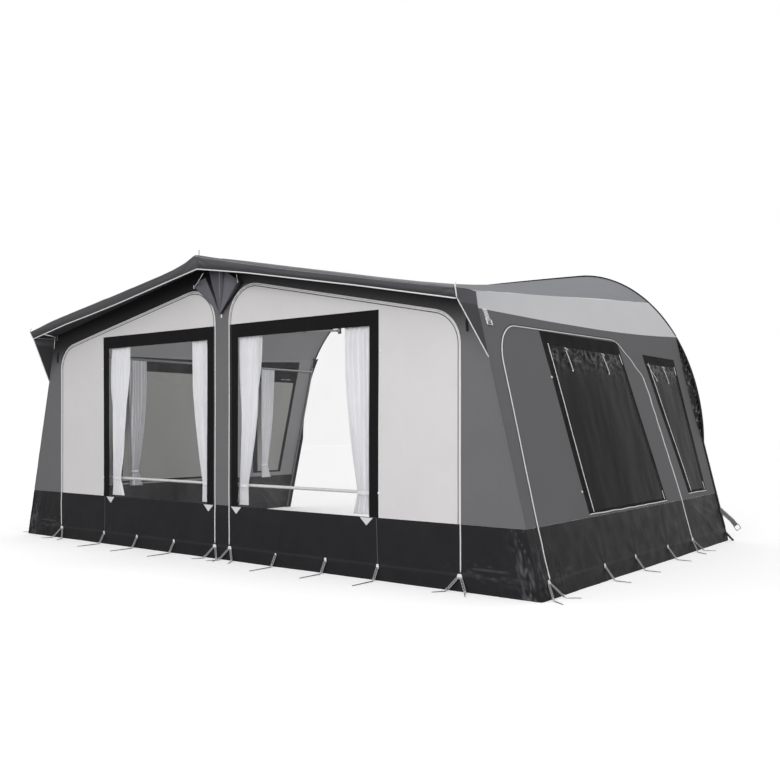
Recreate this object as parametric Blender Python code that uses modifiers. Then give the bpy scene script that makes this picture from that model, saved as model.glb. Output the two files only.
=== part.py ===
# Caravan awning: a gabled tent on a steel frame, open at the rear where it joins a caravan.
# Metres, +Z up. The front wall faces -Y, the open rear lies at +Y, and the awning mirrors about X = 0.
# The origin is on the ground, in the middle of the outline with its pegs.

import math

import bmesh
import bpy
from mathutils import Matrix, Vector

# Cloth and clearances
GAP = 0.0003                    # between pieces that touch
FLAP_GAP = 0.0008               # around the free edges of a window that lifts
FABRIC = 0.004                  # thickness of a cloth panel
FOIL = 0.002                    # thickness of window foil
CURTAIN_CLOTH = 0.003

# Walls
TENT_DEPTH = 3.443              # front wall to caravan
FOOT_HALF_WIDTH = 2.66          # half the width at the ground
WALL_LEAN_SHARE = 0.25          # how far a side wall leans in for each metre of height
SKIRT_HEIGHT = 0.406
EAVE_FRONT_HEIGHT = 1.70
EAVE_REAR_HEIGHT = 1.80
EAVE_CURVE = 2.5                # power of the eave's rise toward the rear
HEADER_DEPTH = 0.15             # gable line down to the top of a front panel

# Roof
APEX_HEIGHT = 2.247             # underside of the roof at the front ridge
CREASE_FRONT_X = 2.22           # fold between the roof and its side band
CREASE_FRONT_HEIGHT = 1.80
CREASE_REAR_SHARE = 0.5         # of the way from the eave up to the rail
RAIL_HEIGHT = 2.455             # awning rail at the middle of the caravan
RAIL_CROWN = 0.015              # fall of the rail's flat top
RAIL_FLAT_X = 1.26              # where the rail starts to curve down
RAIL_FOOT_HEIGHT = 0.85         # where the rail's curve meets the line of the side wall
RAIL_CURVE = 1.95               # 2 is an ellipse
ROOF_COLUMNS = 12
BAND_COLUMNS = 5
ROOF_ROWS = 8
ROOF_BULGE_FALL = 4             # how fast the rail's curve fades out of the cloth towards the front
ROOF_SAG = 0.025                # of the roof's two halves, between ridge and crease
KEDER_RADIUS = 0.004
SEAL_WIDTH = 0.06
SEAL_THICKNESS = 0.012

# Hood
HOOD_APEX_REACH = 0.239
HOOD_TIP_REACH = 0.207
HOOD_APEX_HEIGHT = 2.225
HOOD_TIP_HEIGHT = 1.79
HOOD_PEAK = 0.02                # the apex pin lifts the cloth by this
HOOD_PEAK_CURVE = 10
VALANCE_APEX_DROP = 0.089
VALANCE_TIP_DROP = 0.061
HOOD_END_FOOT_HEIGHT = 1.404    # where the hood's end runs out on the corner
HOOD_COLUMNS = 10
PIPING_RADIUS = 0.0035
EYELET_RADIUS = 0.006

# Pleated gusset under the middle of the hood
GUSSET_FOOT_HEIGHT = 1.84
GUSSET_FOOT_HALF_WIDTH = 0.012
GUSSET_HALF_WIDTH = 0.22
GUSSET_SIDE_RISE = 0.24
GUSSET_MIDDLE_RISE = 0.32
GUSSET_DEPTH = 0.13
GUSSET_FOOT_DEPTH = 0.006
GUSSET_PLEATS = 4
PLEAT_SHARE = 0.22
GUSSET_COLUMNS = 24
GUSSET_ROWS = 4
GUSSET_CLOTH = 0.002

# Front panels
ZIP_INNER_X = 0.083
ZIP_OUTER_X = 2.11
PANEL_INNER_ROUND = 0.25
PANEL_OUTER_ROUND = 0.22
WINDOW_OUTER_X = 1.487
WINDOW_TOP_MARGIN = 0.0476      # cloth over the window's outer top corner
FRAME_INNER_WIDTH = 0.087
FRAME_OUTER_WIDTH = 0.077
FRAME_TOP_WIDTH = 0.10

# Side panels and windows, measured from the front wall along the side wall
SIDE_ZIP_Y = 0.132
SIDE_PANEL_TOP_FRONT = 1.632
SIDE_PANEL_TOP_REAR = 1.667
SIDE_PANEL_TOP_Y = 1.968
SIDE_PANEL_SHOULDER_Y = 2.373
SIDE_PANEL_SHOULDER_HEIGHT = 1.391
SIDE_PANEL_FOOT_Y = 2.555
SIDE_ZIP_FOOT_Y = 2.585
SIDE_PANEL_FRONT_ROUND = 0.22
SIDE_PANEL_TOP_ROUND = 0.12
SIDE_PANEL_SHOULDER_ROUND = 0.25
WINDOW_1_TOP_FRONT_Y = 0.737
WINDOW_1_FOOT_FRONT_Y = 0.868
WINDOW_1_TOP_REAR_Y = 2.011
WINDOW_1_FOOT_REAR_Y = 2.235
WINDOW_1_TOP = 1.612
WINDOW_1_FOOT = 0.424
WINDOW_2_TOP_FRONT_Y = 2.462
WINDOW_2_FOOT_FRONT_Y = 2.743
WINDOW_2_REAR_Y = 3.19
WINDOW_2_TOP = 1.577
WINDOW_2_FOOT = 0.45
SIDE_FRAME_TOP_WIDTH = 0.07
SIDE_FRAME_FRONT_WIDTH = 0.075
SIDE_FRAME_REAR_WIDTH = 0.045
SIDE_FRAME_FOOT_WIDTH = 0.018

# Frame of steel tube
TUBE_RADIUS = 0.0125
RAIL_TUBE_RADIUS = 0.011
LEG_RADIUS = 0.0145
LEG_BORE = 0.0125
LEG_Y = 0.075                   # tubes stand this far behind the front wall
CORNER_X = 2.18
HUB_RADIUS = 0.019
HUB_BELOW_ROOF = 0.032
COLLAR_RADIUS = 0.0165
COLLAR_LENGTH = 0.05
ARM_RADIUS = 0.0045
ARM_DROP = 0.018                # hood arm's tip below the hood's cloth
PIN_RISE = 0.032                # pin above the hood's cloth
PIN_INSET = 0.016
NOTCH_HALF_WIDTH = 0.009
NOTCH_MARGIN = 0.012
LEG_SPLIT_HEIGHT = 0.45
LEG_LAP = 0.25
CLAMP_HEIGHT = 0.045
CLAMP_WALL = 0.006
WING_LENGTH = 0.03
WING_HALF_WIDTH = 0.016
WING_THICKNESS = 0.005
FOOT_RADIUS = 0.042
FOOT_PLATE = 0.006
FOOT_CUP_RADIUS = 0.019
FOOT_CUP_HEIGHT = 0.03
FOOT_WIDTH = 0.045              # plate under a rear upright
VERANDA_RAIL_HEIGHT = 0.56
EAVES_RAIL_DROP = 0.05          # below the lower end of the eave
UPRIGHT_DROP = 0.10             # top of a rear upright below the eave's rear end
BRACKET_WIDTH = 0.05
BRACKET_HEIGHT = 0.07
BRACKET_PLATE = 0.006
BRACKET_SOCKET = 0.045
CENTRE_BRACKET_HEIGHT = 2.40
SIDE_BRACKET_SHARE = 0.928      # of the way out to the roof's crease
SIDE_BRACKET_DROP = 0.0075      # below the roof's crease

# Curtains
TRACK_HEIGHT = 0.018
TRACK_DEPTH = 0.014
TRACK_RISE = 0.03               # track above the top of the clear window
TRACK_INSET = 0.03
CURTAIN_FOOT_CLEARANCE = 0.012
CURTAIN_TIE_HEIGHT = 0.56
CURTAIN_FOLD_DEPTH = 0.016
CURTAIN_BACK = 0.011            # front edge of the folds behind the cloth that they hang on
CURTAIN_ROWS = 6
CURTAIN_COLUMNS = 24
CURTAIN_FOLDS = 4
OUTER_CURTAIN_TOP = (1.41, 1.18)        # edge at the window's side, edge toward its middle
OUTER_CURTAIN_TIE = (1.39, 1.29)
OUTER_CURTAIN_FOOT = (1.40, 1.245)
INNER_CURTAIN_TOP = (0.165, 0.38)
INNER_CURTAIN_TIE = (0.165, 0.245)
INNER_CURTAIN_FOOT = (0.155, 0.25)
SIDE_CURTAIN_TOP_WIDTH = 0.20
SIDE_CURTAIN_TIE_WIDTH = 0.09
SIDE_CURTAIN_FOOT_WIDTH = 0.14
FRONT_SIDE_CURTAIN_Y = 0.80
REAR_SIDE_CURTAIN_Y = 2.56
SIDE_CURTAIN_INSET = 0.014      # middle of the folds inward of the eaves rail

# Pegging
PEG_REACH = 0.26                # front wall to the tip of a front peg
SIDE_PEG_REACH = 0.16
PEG_RADIUS = 0.0035
PEG_NOSE = 0.02
STRAP_WIDTH = 0.014
STRAP_THICKNESS = 0.003
STRAP_FOOT_OUT = 0.045
STRAP_FOOT_HEIGHT = 0.007
STRAP_TOP_HEIGHT = 0.088
STRAP_TOP_OUT = 0.002
STRAP_SLOTS = 3
STRAP_SLOT_WIDTH_SHARE = 0.5
STRAP_SLOT_LENGTH_SHARE = 0.6
HOOK_WIDTH = 0.016
HOOK_HEIGHT = 0.022
HOOK_DEPTH = 0.008
HOOK_LAP = 0.004                # how far a hook reaches down over its strap
VEE_SPREAD = 0.068
VEE_TOP_SPREAD = 0.009
VEE_PEG_REACH = 0.13
VEE_PEG_SPLAY = 0.05           # how far a paired peg turns away from its partner
FRONT_PEG_X = (0.56, 1.03, 1.48)
SIDE_PEG_Y = (0.91, 1.42, 2.04)

# Facets
ARC_STEPS = 6
ROUND_SIDES = 12
KEDER_STEPS = 14

# Worked out from the sizes above
FRONT_Y = (PEG_REACH - TENT_DEPTH) / 2
ROOF_REAR_Y = TENT_DEPTH - 2 * KEDER_RADIUS - GAP
WALL_REAR_Y = ROOF_REAR_Y - SEAL_THICKNESS - GAP
SEAM = SKIRT_HEIGHT + GAP
APEX_HUB_HEIGHT = APEX_HEIGHT - HUB_BELOW_ROOF
GABLE_SLOPE = (APEX_HEIGHT - CREASE_FRONT_HEIGHT) / CREASE_FRONT_X
CORNER_HUB_HEIGHT = APEX_HEIGHT - GABLE_SLOPE * CORNER_X - HUB_BELOW_ROOF
INNER_ROUND_START = APEX_HEIGHT - GABLE_SLOPE * ZIP_INNER_X - HEADER_DEPTH - PANEL_INNER_ROUND
UNDER_GABLE = APEX_HEIGHT - GABLE_SLOPE * WINDOW_OUTER_X - HEADER_DEPTH - WINDOW_TOP_MARGIN
WINDOW_TOP = min(UNDER_GABLE, INNER_ROUND_START)
TRACK_BOTTOM = WINDOW_TOP - FRAME_TOP_WIDTH + TRACK_RISE
EAVES_RAIL_HEIGHT = min(EAVE_FRONT_HEIGHT, EAVE_REAR_HEIGHT) - EAVES_RAIL_DROP
UPRIGHT_TOP = EAVE_REAR_HEIGHT - UPRIGHT_DROP
SIDES = (("left", -1), ("right", 1))


# Scene and materials

def clear_scene():
    for old in list(bpy.data.objects):
        bpy.data.objects.remove(old, do_unlink=True)


def make_collection(name):
    made = bpy.data.collections.new(name)
    bpy.context.scene.collection.children.link(made)
    return made


def make_material(name, colour, roughness, metallic=0.0):
    made = bpy.data.materials.new(name)
    made.use_nodes = True
    shader = made.node_tree.nodes["Principled BSDF"]
    shader.inputs["Base Color"].default_value = (*colour, 1.0)
    shader.inputs["Roughness"].default_value = roughness
    shader.inputs["Metallic"].default_value = metallic
    made.diffuse_color = (*colour, 1.0)
    return made


clear_scene()
PARTS = make_collection("caravan_awning")
CUTTERS = make_collection("cutters")

LIGHT_CLOTH = make_material("light_cloth", (0.60, 0.59, 0.60), 0.85)
GREY_CLOTH = make_material("grey_cloth", (0.15, 0.15, 0.16), 0.85)
HOOD_CLOTH = make_material("hood_cloth", (0.10, 0.10, 0.105), 0.8)
ROOF_CLOTH = make_material("roof_cloth", (0.32, 0.33, 0.35), 0.7)
BAND_CLOTH = make_material("band_cloth", (0.48, 0.49, 0.52), 0.7)
SKIRT_PVC = make_material("skirt_pvc", (0.028, 0.029, 0.032), 0.5)
FRAME_PVC = make_material("window_frame_pvc", (0.02, 0.02, 0.021), 0.5)
CLEAR_FOIL = make_material("clear_foil", (0.55, 0.56, 0.58), 0.1)
TINTED_FOIL = make_material("tinted_foil", (0.05, 0.05, 0.055), 0.15)
WHITE_CORD = make_material("white_cord", (0.58, 0.57, 0.56), 0.6)
CURTAIN_WHITE = make_material("curtain_white", (0.80, 0.80, 0.82), 0.9)
BLACK_RUBBER = make_material("black_rubber", (0.02, 0.02, 0.02), 0.7)
STEEL = make_material("zinc_steel", (0.45, 0.46, 0.47), 0.35, 0.9)
WHITE_PLASTIC = make_material("white_plastic", (0.75, 0.75, 0.75), 0.45)


# Building blocks: each returns a mesh, and node() makes it a named object

def weld(mesh):
    work = bmesh.new()
    work.from_mesh(mesh)
    bmesh.ops.remove_doubles(work, verts=work.verts, dist=GAP / 10)
    bmesh.ops.recalc_face_normals(work, faces=work.faces)
    work.to_mesh(mesh)
    work.free()
    return mesh


def evaluated_mesh(made):
    """The mesh of a curve or a mesh with modifiers, and the object removed."""
    PARTS.objects.link(made)
    graph = bpy.context.evaluated_depsgraph_get()
    mesh = bpy.data.meshes.new_from_object(made.evaluated_get(graph))
    bpy.data.objects.remove(made, do_unlink=True)
    return mesh


def together(meshes):
    """Meshes that lie clear of each other in one mesh, such as the tools of one Boolean."""
    work = bmesh.new()
    for mesh in meshes:
        work.from_mesh(mesh)
        bpy.data.meshes.remove(mesh)
    made = bpy.data.meshes.new("together")
    work.to_mesh(made)
    work.free()
    return made


def node(name, mesh, material, smooth=False):
    mesh.name = name
    mesh.materials.clear()
    mesh.materials.append(material)
    if smooth:
        mesh.shade_smooth()
        mesh.set_sharp_from_angle(angle=math.radians(35))
    made = bpy.data.objects.new(name, mesh)
    PARTS.objects.link(made)
    return made


def flat_sheet(outline, place, thickness=FABRIC, holes=()):
    """A flat outline with holes, given thickness and laid on its wall by place."""
    curve = bpy.data.curves.new("sheet", "CURVE")
    curve.dimensions = "2D"
    curve.fill_mode = "BOTH"
    curve.extrude = thickness / 2
    for loop in (outline, *holes):
        spline = curve.splines.new("POLY")
        spline.points.add(len(loop) - 1)
        spline.use_cyclic_u = True
        for point, (a, b) in zip(spline.points, loop):
            point.co = (a, b, 0, 1)
    mesh = weld(evaluated_mesh(bpy.data.objects.new("sheet", curve)))
    for vertex in mesh.vertices:
        a, b, c = vertex.co
        vertex.co = place(a, b, c + thickness / 2)
    return weld(mesh)


def tube(points, radius, resolution=4):
    curve = bpy.data.curves.new("tube", "CURVE")
    curve.dimensions = "3D"
    curve.bevel_depth = radius
    curve.bevel_resolution = resolution
    curve.use_fill_caps = True
    spline = curve.splines.new("POLY")
    spline.points.add(len(points) - 1)
    for point, place in zip(spline.points, points):
        point.co = (*place, 1)
    return weld(evaluated_mesh(bpy.data.objects.new("tube", curve)))


def box(low, high):
    work = bmesh.new()
    low, high = Vector(low), Vector(high)
    size = Matrix.Diagonal((*(high - low), 1))
    bmesh.ops.create_cube(work, size=1, matrix=Matrix.Translation((low + high) / 2) @ size)
    mesh = bpy.data.meshes.new("box")
    work.to_mesh(mesh)
    work.free()
    return mesh


def cylinder(start, end, radius, sides=ROUND_SIDES):
    start, end = Vector(start), Vector(end)
    along = end - start
    turn = along.to_track_quat("Z", "Y").to_matrix().to_4x4()
    work = bmesh.new()
    bmesh.ops.create_cone(work, cap_ends=True, segments=sides, radius1=radius, radius2=radius,
                          depth=along.length, matrix=Matrix.Translation((start + end) / 2) @ turn)
    mesh = bpy.data.meshes.new("cylinder")
    work.to_mesh(mesh)
    work.free()
    return mesh


def turned(profile, centre, sides=ROUND_SIDES):
    """A closed profile of (radius, height) points turned about a vertical axis."""
    work = bmesh.new()
    loop = [work.verts.new((radius, 0, height)) for radius, height in profile]
    edges = [work.edges.new((a, b)) for a, b in zip(loop, loop[1:] + loop[:1])]
    bmesh.ops.spin(work, geom=loop + edges, cent=(0, 0, 0), axis=(0, 0, 1), angle=math.tau,
                   steps=sides, use_merge=True)
    bmesh.ops.translate(work, verts=work.verts, vec=centre)
    mesh = bpy.data.meshes.new("turned")
    work.to_mesh(mesh)
    work.free()
    return weld(mesh)


def combined(base, others, operation):
    """One exact Boolean of a base with all its tools at once."""
    for other in others:
        CUTTERS.objects.link(bpy.data.objects.new("tool", other))
    made = bpy.data.objects.new("base", base)
    modifier = made.modifiers.new("join", "BOOLEAN")
    modifier.operation = operation
    modifier.solver = "EXACT"
    modifier.operand_type = "COLLECTION"
    modifier.collection = CUTTERS
    mesh = evaluated_mesh(made)
    for tool in list(CUTTERS.objects):
        bpy.data.objects.remove(tool, do_unlink=True)
    return mesh


def grid_faces(work, rows):
    placed = [[work.verts.new(point) for point in row] for row in rows]
    for low, high in zip(placed, placed[1:]):
        for a, b, c, d in zip(low, low[1:], high[1:], high):
            work.faces.new((a, b, c, d))
    return placed


def thick_loft(rows, offset):
    """A sheet through rows of points, given its thickness along one straight offset."""
    work = bmesh.new()
    grid_faces(work, rows)
    solid = bmesh.ops.extrude_face_region(work, geom=work.faces[:], use_keep_orig=True)
    raised = [item for item in solid["geom"] if isinstance(item, bmesh.types.BMVert)]
    bmesh.ops.translate(work, verts=raised, vec=offset)
    mesh = bpy.data.meshes.new("loft")
    work.to_mesh(mesh)
    work.free()
    return weld(mesh)


def open_surface(patches):
    """Patches of rows of points, welded where their edges meet, with one facing throughout."""
    work = bmesh.new()
    for rows in patches:
        grid_faces(work, rows)
    mesh = bpy.data.meshes.new("surface")
    work.to_mesh(mesh)
    work.free()
    return weld(mesh)


def solidified(surface, thickness, outward):
    """An open surface given thickness toward the side that the vector outward points to."""
    facing = sum((face.normal.dot(outward) * face.area for face in surface.polygons))
    made = bpy.data.objects.new("shell", surface)
    modifier = made.modifiers.new("thickness", "SOLIDIFY")
    modifier.thickness = thickness
    modifier.offset = 1 if facing > 0 else -1
    modifier.use_even_offset = True
    modifier.use_quality_normals = True
    return evaluated_mesh(made)


# Outlines

def mixed(a, b, share):
    return a + (b - a) * share


def rounded(points, rounds):
    """An open run of points with its inner corners rounded by arcs of the given radii."""
    path = [Vector(points[0])]
    for before, corner, after, radius in zip(points, points[1:], points[2:], rounds):
        corner = Vector(corner)
        back = (Vector(before) - corner).normalized()
        on = (Vector(after) - corner).normalized()
        half = back.angle(on) / 2
        reach = radius / math.tan(half)
        middle = corner + (back + on).normalized() * (radius / math.sin(half))
        start = corner + back * reach - middle
        end = corner + on * reach - middle
        turn = start.angle_signed(end)
        for step in range(ARC_STEPS + 1):
            swung = start.copy()
            swung.rotate(Matrix.Rotation(-turn * step / ARC_STEPS, 2))
            path.append(middle + swung)
    path.append(Vector(points[-1]))
    return path


def shifted(path, distance):
    """A run of points moved sideways, to the left of its direction when distance is positive."""
    moved = []
    for index, point in enumerate(path):
        before = path[max(index - 1, 0)]
        after = path[min(index + 1, len(path) - 1)]
        sides = []
        for a, b in ((before, point), (point, after)):
            if (b - a).length > 0:
                along = (b - a).normalized()
                sides.append(Vector((-along.y, along.x)))
        middle = sum(sides, Vector((0, 0))).normalized()
        moved.append(point + middle * (distance / middle.dot(sides[0])))
    return moved


def wall_x(height):
    """Outer face of the right side wall."""
    return FOOT_HALF_WIDTH - WALL_LEAN_SHARE * height


def eave_height(y):
    share = min(max(y / TENT_DEPTH, 0), 1)
    return EAVE_FRONT_HEIGHT + (EAVE_REAR_HEIGHT - EAVE_FRONT_HEIGHT) * share ** EAVE_CURVE


def gable_height(x):
    """Underside of the roof at the front wall."""
    return APEX_HEIGHT - GABLE_SLOPE * abs(x)


def rail_height(x):
    """Height of the awning rail over a point across the caravan."""
    top = RAIL_HEIGHT - RAIL_CROWN * min(x / RAIL_FLAT_X, 1) ** 2
    if x <= RAIL_FLAT_X:
        return top
    share = (x - RAIL_FLAT_X) / (wall_x(RAIL_FOOT_HEIGHT) - RAIL_FLAT_X)
    return RAIL_FOOT_HEIGHT + (top - RAIL_FOOT_HEIGHT) * (1 - share ** RAIL_CURVE) ** (1 / RAIL_CURVE)


def rail_x(height):
    """How far across the rail is at a height, on its curved side."""
    if height <= RAIL_FOOT_HEIGHT:
        return wall_x(height)
    share = (height - RAIL_FOOT_HEIGHT) / (RAIL_HEIGHT - RAIL_CROWN - RAIL_FOOT_HEIGHT)
    reach = wall_x(RAIL_FOOT_HEIGHT) - RAIL_FLAT_X
    return RAIL_FLAT_X + reach * (1 - share ** RAIL_CURVE) ** (1 / RAIL_CURVE)


def on_front(sign):
    """Places (across, up, thickness) on the front wall; sign mirrors it."""
    return lambda a, b, c: Vector((sign * a, FRONT_Y + c, b))


def on_side(sign):
    """Places (back, up, thickness) on a side wall, thickness going inward."""
    return lambda a, b, c: Vector((sign * (wall_x(b) - c), FRONT_Y + a, b))


def panel_path():
    """Edge of the right front panel, from its outer foot over the top to its inner foot."""
    corners = [(ZIP_OUTER_X, SEAM),
               (ZIP_OUTER_X, gable_height(ZIP_OUTER_X) - HEADER_DEPTH),
               (ZIP_INNER_X, gable_height(ZIP_INNER_X) - HEADER_DEPTH),
               (ZIP_INNER_X, SEAM)]
    return rounded(corners, (PANEL_OUTER_ROUND, PANEL_INNER_ROUND))


def side_panel_path():
    """Edge of a side panel, from its rear foot over the top to its front foot."""
    corners = [(SIDE_PANEL_FOOT_Y, SEAM),
               (SIDE_PANEL_SHOULDER_Y, SIDE_PANEL_SHOULDER_HEIGHT),
               (SIDE_PANEL_TOP_Y, SIDE_PANEL_TOP_REAR),
               (SIDE_ZIP_Y, SIDE_PANEL_TOP_FRONT),
               (SIDE_ZIP_Y, SEAM)]
    return rounded(corners, (SIDE_PANEL_SHOULDER_ROUND, SIDE_PANEL_TOP_ROUND, SIDE_PANEL_FRONT_ROUND))


def inner_corner(near, far, beyond, near_inset, far_inset):
    """Corner of an outline drawn in from two of its sides."""
    first = (far - near).normalized()
    second = (beyond - far).normalized()
    first_side = Vector((-first.y, first.x))
    second_side = Vector((-second.y, second.x))
    start = near + first_side * near_inset
    goal = far + second_side * far_inset
    reach = (goal - start).dot(second_side) / first.dot(second_side)
    return start + first * reach


def drawn_in(outline, insets):
    """An outline that runs anticlockwise, with each side drawn in by its own inset."""
    corners = [Vector(corner) for corner in outline]
    count = len(corners)
    made = []
    for index in range(count):
        near = corners[index - 1]
        far = corners[index]
        beyond = corners[(index + 1) % count]
        made.append(inner_corner(near, far, beyond, insets[index - 1], insets[index]))
    return made


WINDOW_OUTLINES = {
    "front": [(WINDOW_1_FOOT_FRONT_Y, WINDOW_1_FOOT), (WINDOW_1_FOOT_REAR_Y, WINDOW_1_FOOT),
              (WINDOW_1_TOP_REAR_Y, WINDOW_1_TOP), (WINDOW_1_TOP_FRONT_Y, WINDOW_1_TOP)],
    "rear": [(WINDOW_2_FOOT_FRONT_Y, WINDOW_2_FOOT), (WINDOW_2_REAR_Y, WINDOW_2_FOOT),
             (WINDOW_2_REAR_Y, WINDOW_2_TOP), (WINDOW_2_TOP_FRONT_Y, WINDOW_2_TOP)],
}
SIDE_FRAME_WIDTHS = (SIDE_FRAME_FOOT_WIDTH, SIDE_FRAME_REAR_WIDTH, SIDE_FRAME_TOP_WIDTH,
                     SIDE_FRAME_FRONT_WIDTH)


# Walls

def build_front_surround():
    """Corner strips, gable header and the strip between the panels, cut from one cloth."""
    edge = shifted(panel_path(), -GAP)
    half = NOTCH_HALF_WIDTH
    eave = EAVE_FRONT_HEIGHT - GAP
    under_band = CREASE_FRONT_X - FABRIC - GAP
    corner = arm_crossing("right")
    centre = arm_crossing("centre")
    right = [(edge[0].x, SEAM), (wall_x(SEAM), SEAM), (wall_x(eave), eave),
             (wall_x(eave) - FABRIC - GAP, eave), (under_band, gable_height(under_band) - GAP),
             (corner.x + half, gable_height(corner.x + half) - GAP),
             (corner.x + half, corner.z - NOTCH_MARGIN), (corner.x - half, corner.z - NOTCH_MARGIN),
             (corner.x - half, gable_height(corner.x - half) - GAP),
             (half, gable_height(half) - GAP), (half, centre.z - NOTCH_MARGIN)]
    left = [(-across, up) for across, up in reversed(right)]
    over_left = [(-point.x, point.y) for point in edge[1:]]
    over_right = [(point.x, point.y) for point in reversed(edge[1:])]
    node("front_surround", flat_sheet(right + left + over_left + over_right, on_front(1)), GREY_CLOTH)


def build_front_panels():
    path = panel_path()
    window_top = WINDOW_TOP
    panel = [tuple(point) for point in path[:-1]]
    panel += [(ZIP_INNER_X, window_top), (WINDOW_OUTER_X, window_top), (WINDOW_OUTER_X, SEAM)]
    outer = WINDOW_OUTER_X - GAP
    top = window_top - GAP
    light_top = WINDOW_TOP - FRAME_TOP_WIDTH
    light_inner = ZIP_INNER_X + FRAME_INNER_WIDTH
    light_outer = WINDOW_OUTER_X - FRAME_OUTER_WIDTH
    frame = [(ZIP_INNER_X, SEAM), (light_inner, SEAM), (light_inner, light_top),
             (light_outer, light_top), (light_outer, SEAM), (outer, SEAM), (outer, top),
             (ZIP_INNER_X, top)]
    light = [(light_inner + GAP, SEAM), (light_outer - GAP, SEAM),
             (light_outer - GAP, light_top - GAP), (light_inner + GAP, light_top - GAP)]
    for side, sign in SIDES:
        node("front_panel_" + side, flat_sheet(panel, on_front(sign)), LIGHT_CLOTH)
        node("front_window_frame_" + side, flat_sheet(frame, on_front(sign)), FRAME_PVC)
        node("front_window_" + side, flat_sheet(light, on_front(sign), FOIL), CLEAR_FOIL)


def build_side_walls():
    path = side_panel_path()
    edge = [tuple(point) for point in shifted(path, -GAP)]
    start = FABRIC + GAP
    steps = [WALL_REAR_Y * step / ROOF_ROWS for step in range(1, ROOF_ROWS)]
    eave = [(y, eave_height(y) - GAP) for y in (WALL_REAR_Y, *reversed(steps), start)]
    surround = [(start, SEAM)] + [(SIDE_ZIP_Y - GAP, SEAM)] + edge[-2:0:-1]
    surround += [(SIDE_PANEL_FOOT_Y + GAP, SEAM), (WALL_REAR_Y, SEAM)] + eave
    lights = {place: drawn_in(outline, SIDE_FRAME_WIDTHS) for place, outline in WINDOW_OUTLINES.items()}
    for side, sign in SIDES:
        wall = on_side(sign)
        sheet = flat_sheet(surround, wall, holes=[lights["rear"]])
        node("side_surround_" + side, sheet, GREY_CLOTH)
        sheet = flat_sheet([tuple(point) for point in path], wall, holes=[lights["front"]])
        node("side_panel_" + side, sheet, GREY_CLOTH)
        for place, light in lights.items():
            foil = drawn_in(light, (FLAP_GAP, FLAP_GAP, GAP, FLAP_GAP))
            sheet = flat_sheet(foil, wall, FOIL)
            node(f"side_window_{place}_{side}", sheet, TINTED_FOIL)


def build_rear_edge():
    heights = [RAIL_FOOT_HEIGHT * step / 2 for step in range(3)]
    rise = EAVE_REAR_HEIGHT - RAIL_FOOT_HEIGHT
    heights += [RAIL_FOOT_HEIGHT + rise * step / KEDER_STEPS for step in range(1, KEDER_STEPS + 1)]
    outer = [(rail_x(height), height) for height in heights]
    inner = [(x - SEAL_WIDTH, height) for x, height in reversed(outer)]
    for side, sign in SIDES:
        place = lambda a, b, c, sign=sign: Vector((sign * a, FRONT_Y + ROOF_REAR_Y - c, b))
        node("rear_seal_" + side, flat_sheet(outer + inner, place, SEAL_THICKNESS), BLACK_RUBBER)

    curved = [(rail_x(height) - KEDER_RADIUS, height) for height in heights]
    reach = rail_x(EAVE_REAR_HEIGHT)
    across = [reach * (1 - (step / KEDER_STEPS) ** 2) for step in range(1, KEDER_STEPS + 1)]
    over = [(x, rail_height(x) - KEDER_RADIUS) for x in across]
    half = curved + over
    whole = [(-x, height) for x, height in half] + list(reversed(half[:-1]))
    y = FRONT_Y + TENT_DEPTH - KEDER_RADIUS
    points = [(x, y, max(height, KEDER_RADIUS)) for x, height in whole]
    node("keder", tube(points, KEDER_RADIUS, 1), BLACK_RUBBER, smooth=True)


# Roof and hood

def crease_rear_height():
    return mixed(EAVE_REAR_HEIGHT, RAIL_HEIGHT, CREASE_REAR_SHARE)


def crease_point(share):
    rear = crease_rear_height()
    return Vector((mixed(CREASE_FRONT_X, rail_x(rear), share), ROOF_REAR_Y * share,
                   mixed(CREASE_FRONT_HEIGHT, rear, share)))


def ridge_point(share):
    return Vector((0, ROOF_REAR_Y * share, mixed(APEX_HEIGHT, RAIL_HEIGHT, share)))


def eave_point(share):
    y = ROOF_REAR_Y * share
    height = eave_height(y)
    return Vector((wall_x(height) - FABRIC, y, height))


def rear_bulge(share, start, end, curve):
    """How far the rail's curve stands off the straight line between two of its points."""
    return curve(share) - start.lerp(end, share)


def build_roof():
    def top_curve(share):
        x = rail_x(crease_rear_height()) * share
        return Vector((x, ROOF_REAR_Y, rail_height(x)))

    def side_curve(share):
        height = mixed(crease_rear_height(), EAVE_REAR_HEIGHT, share)
        return Vector((rail_x(height), ROOF_REAR_Y, height))

    top_rows, side_rows = [], []
    for row in range(ROOF_ROWS + 1):
        back = row / ROOF_ROWS
        half = []
        for column in range(ROOF_COLUMNS + 1):
            share = column / ROOF_COLUMNS
            bulge = rear_bulge(share, top_curve(0), top_curve(1), top_curve)
            flat = ridge_point(back).lerp(crease_point(back), share)
            sag = ROOF_SAG * math.sin(math.pi * back) * math.sin(math.pi * share)
            half.append(flat + bulge * back ** ROOF_BULGE_FALL - Vector((0, 0, sag)))
        top_rows.append([Vector((-point.x, point.y, point.z)) for point in reversed(half[1:])] + half)
        side = []
        for column in range(BAND_COLUMNS + 1):
            share = column / BAND_COLUMNS
            bulge = rear_bulge(share, side_curve(0), side_curve(1), side_curve)
            side.append(crease_point(back).lerp(eave_point(back), share) + bulge * back ** ROOF_BULGE_FALL)
        side_rows.append(side)

    move = Vector((0, FRONT_Y, 0))
    crease_gap = Vector((GAP, 0, 0))
    top_rows = [[point + move for point in row] for row in top_rows]
    node("roof_panel", thick_loft(top_rows, Vector((0, 0, FABRIC))), ROOF_CLOTH)
    for side, sign in SIDES:
        rows = []
        for row in side_rows:
            placed = [point + crease_gap + move for point in row]
            rows.append([Vector((sign * point.x, point.y, point.z)) for point in placed])
        node("roof_side_" + side, thick_loft(rows, Vector((sign * FABRIC, 0, 0))), BAND_CLOTH)


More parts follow.
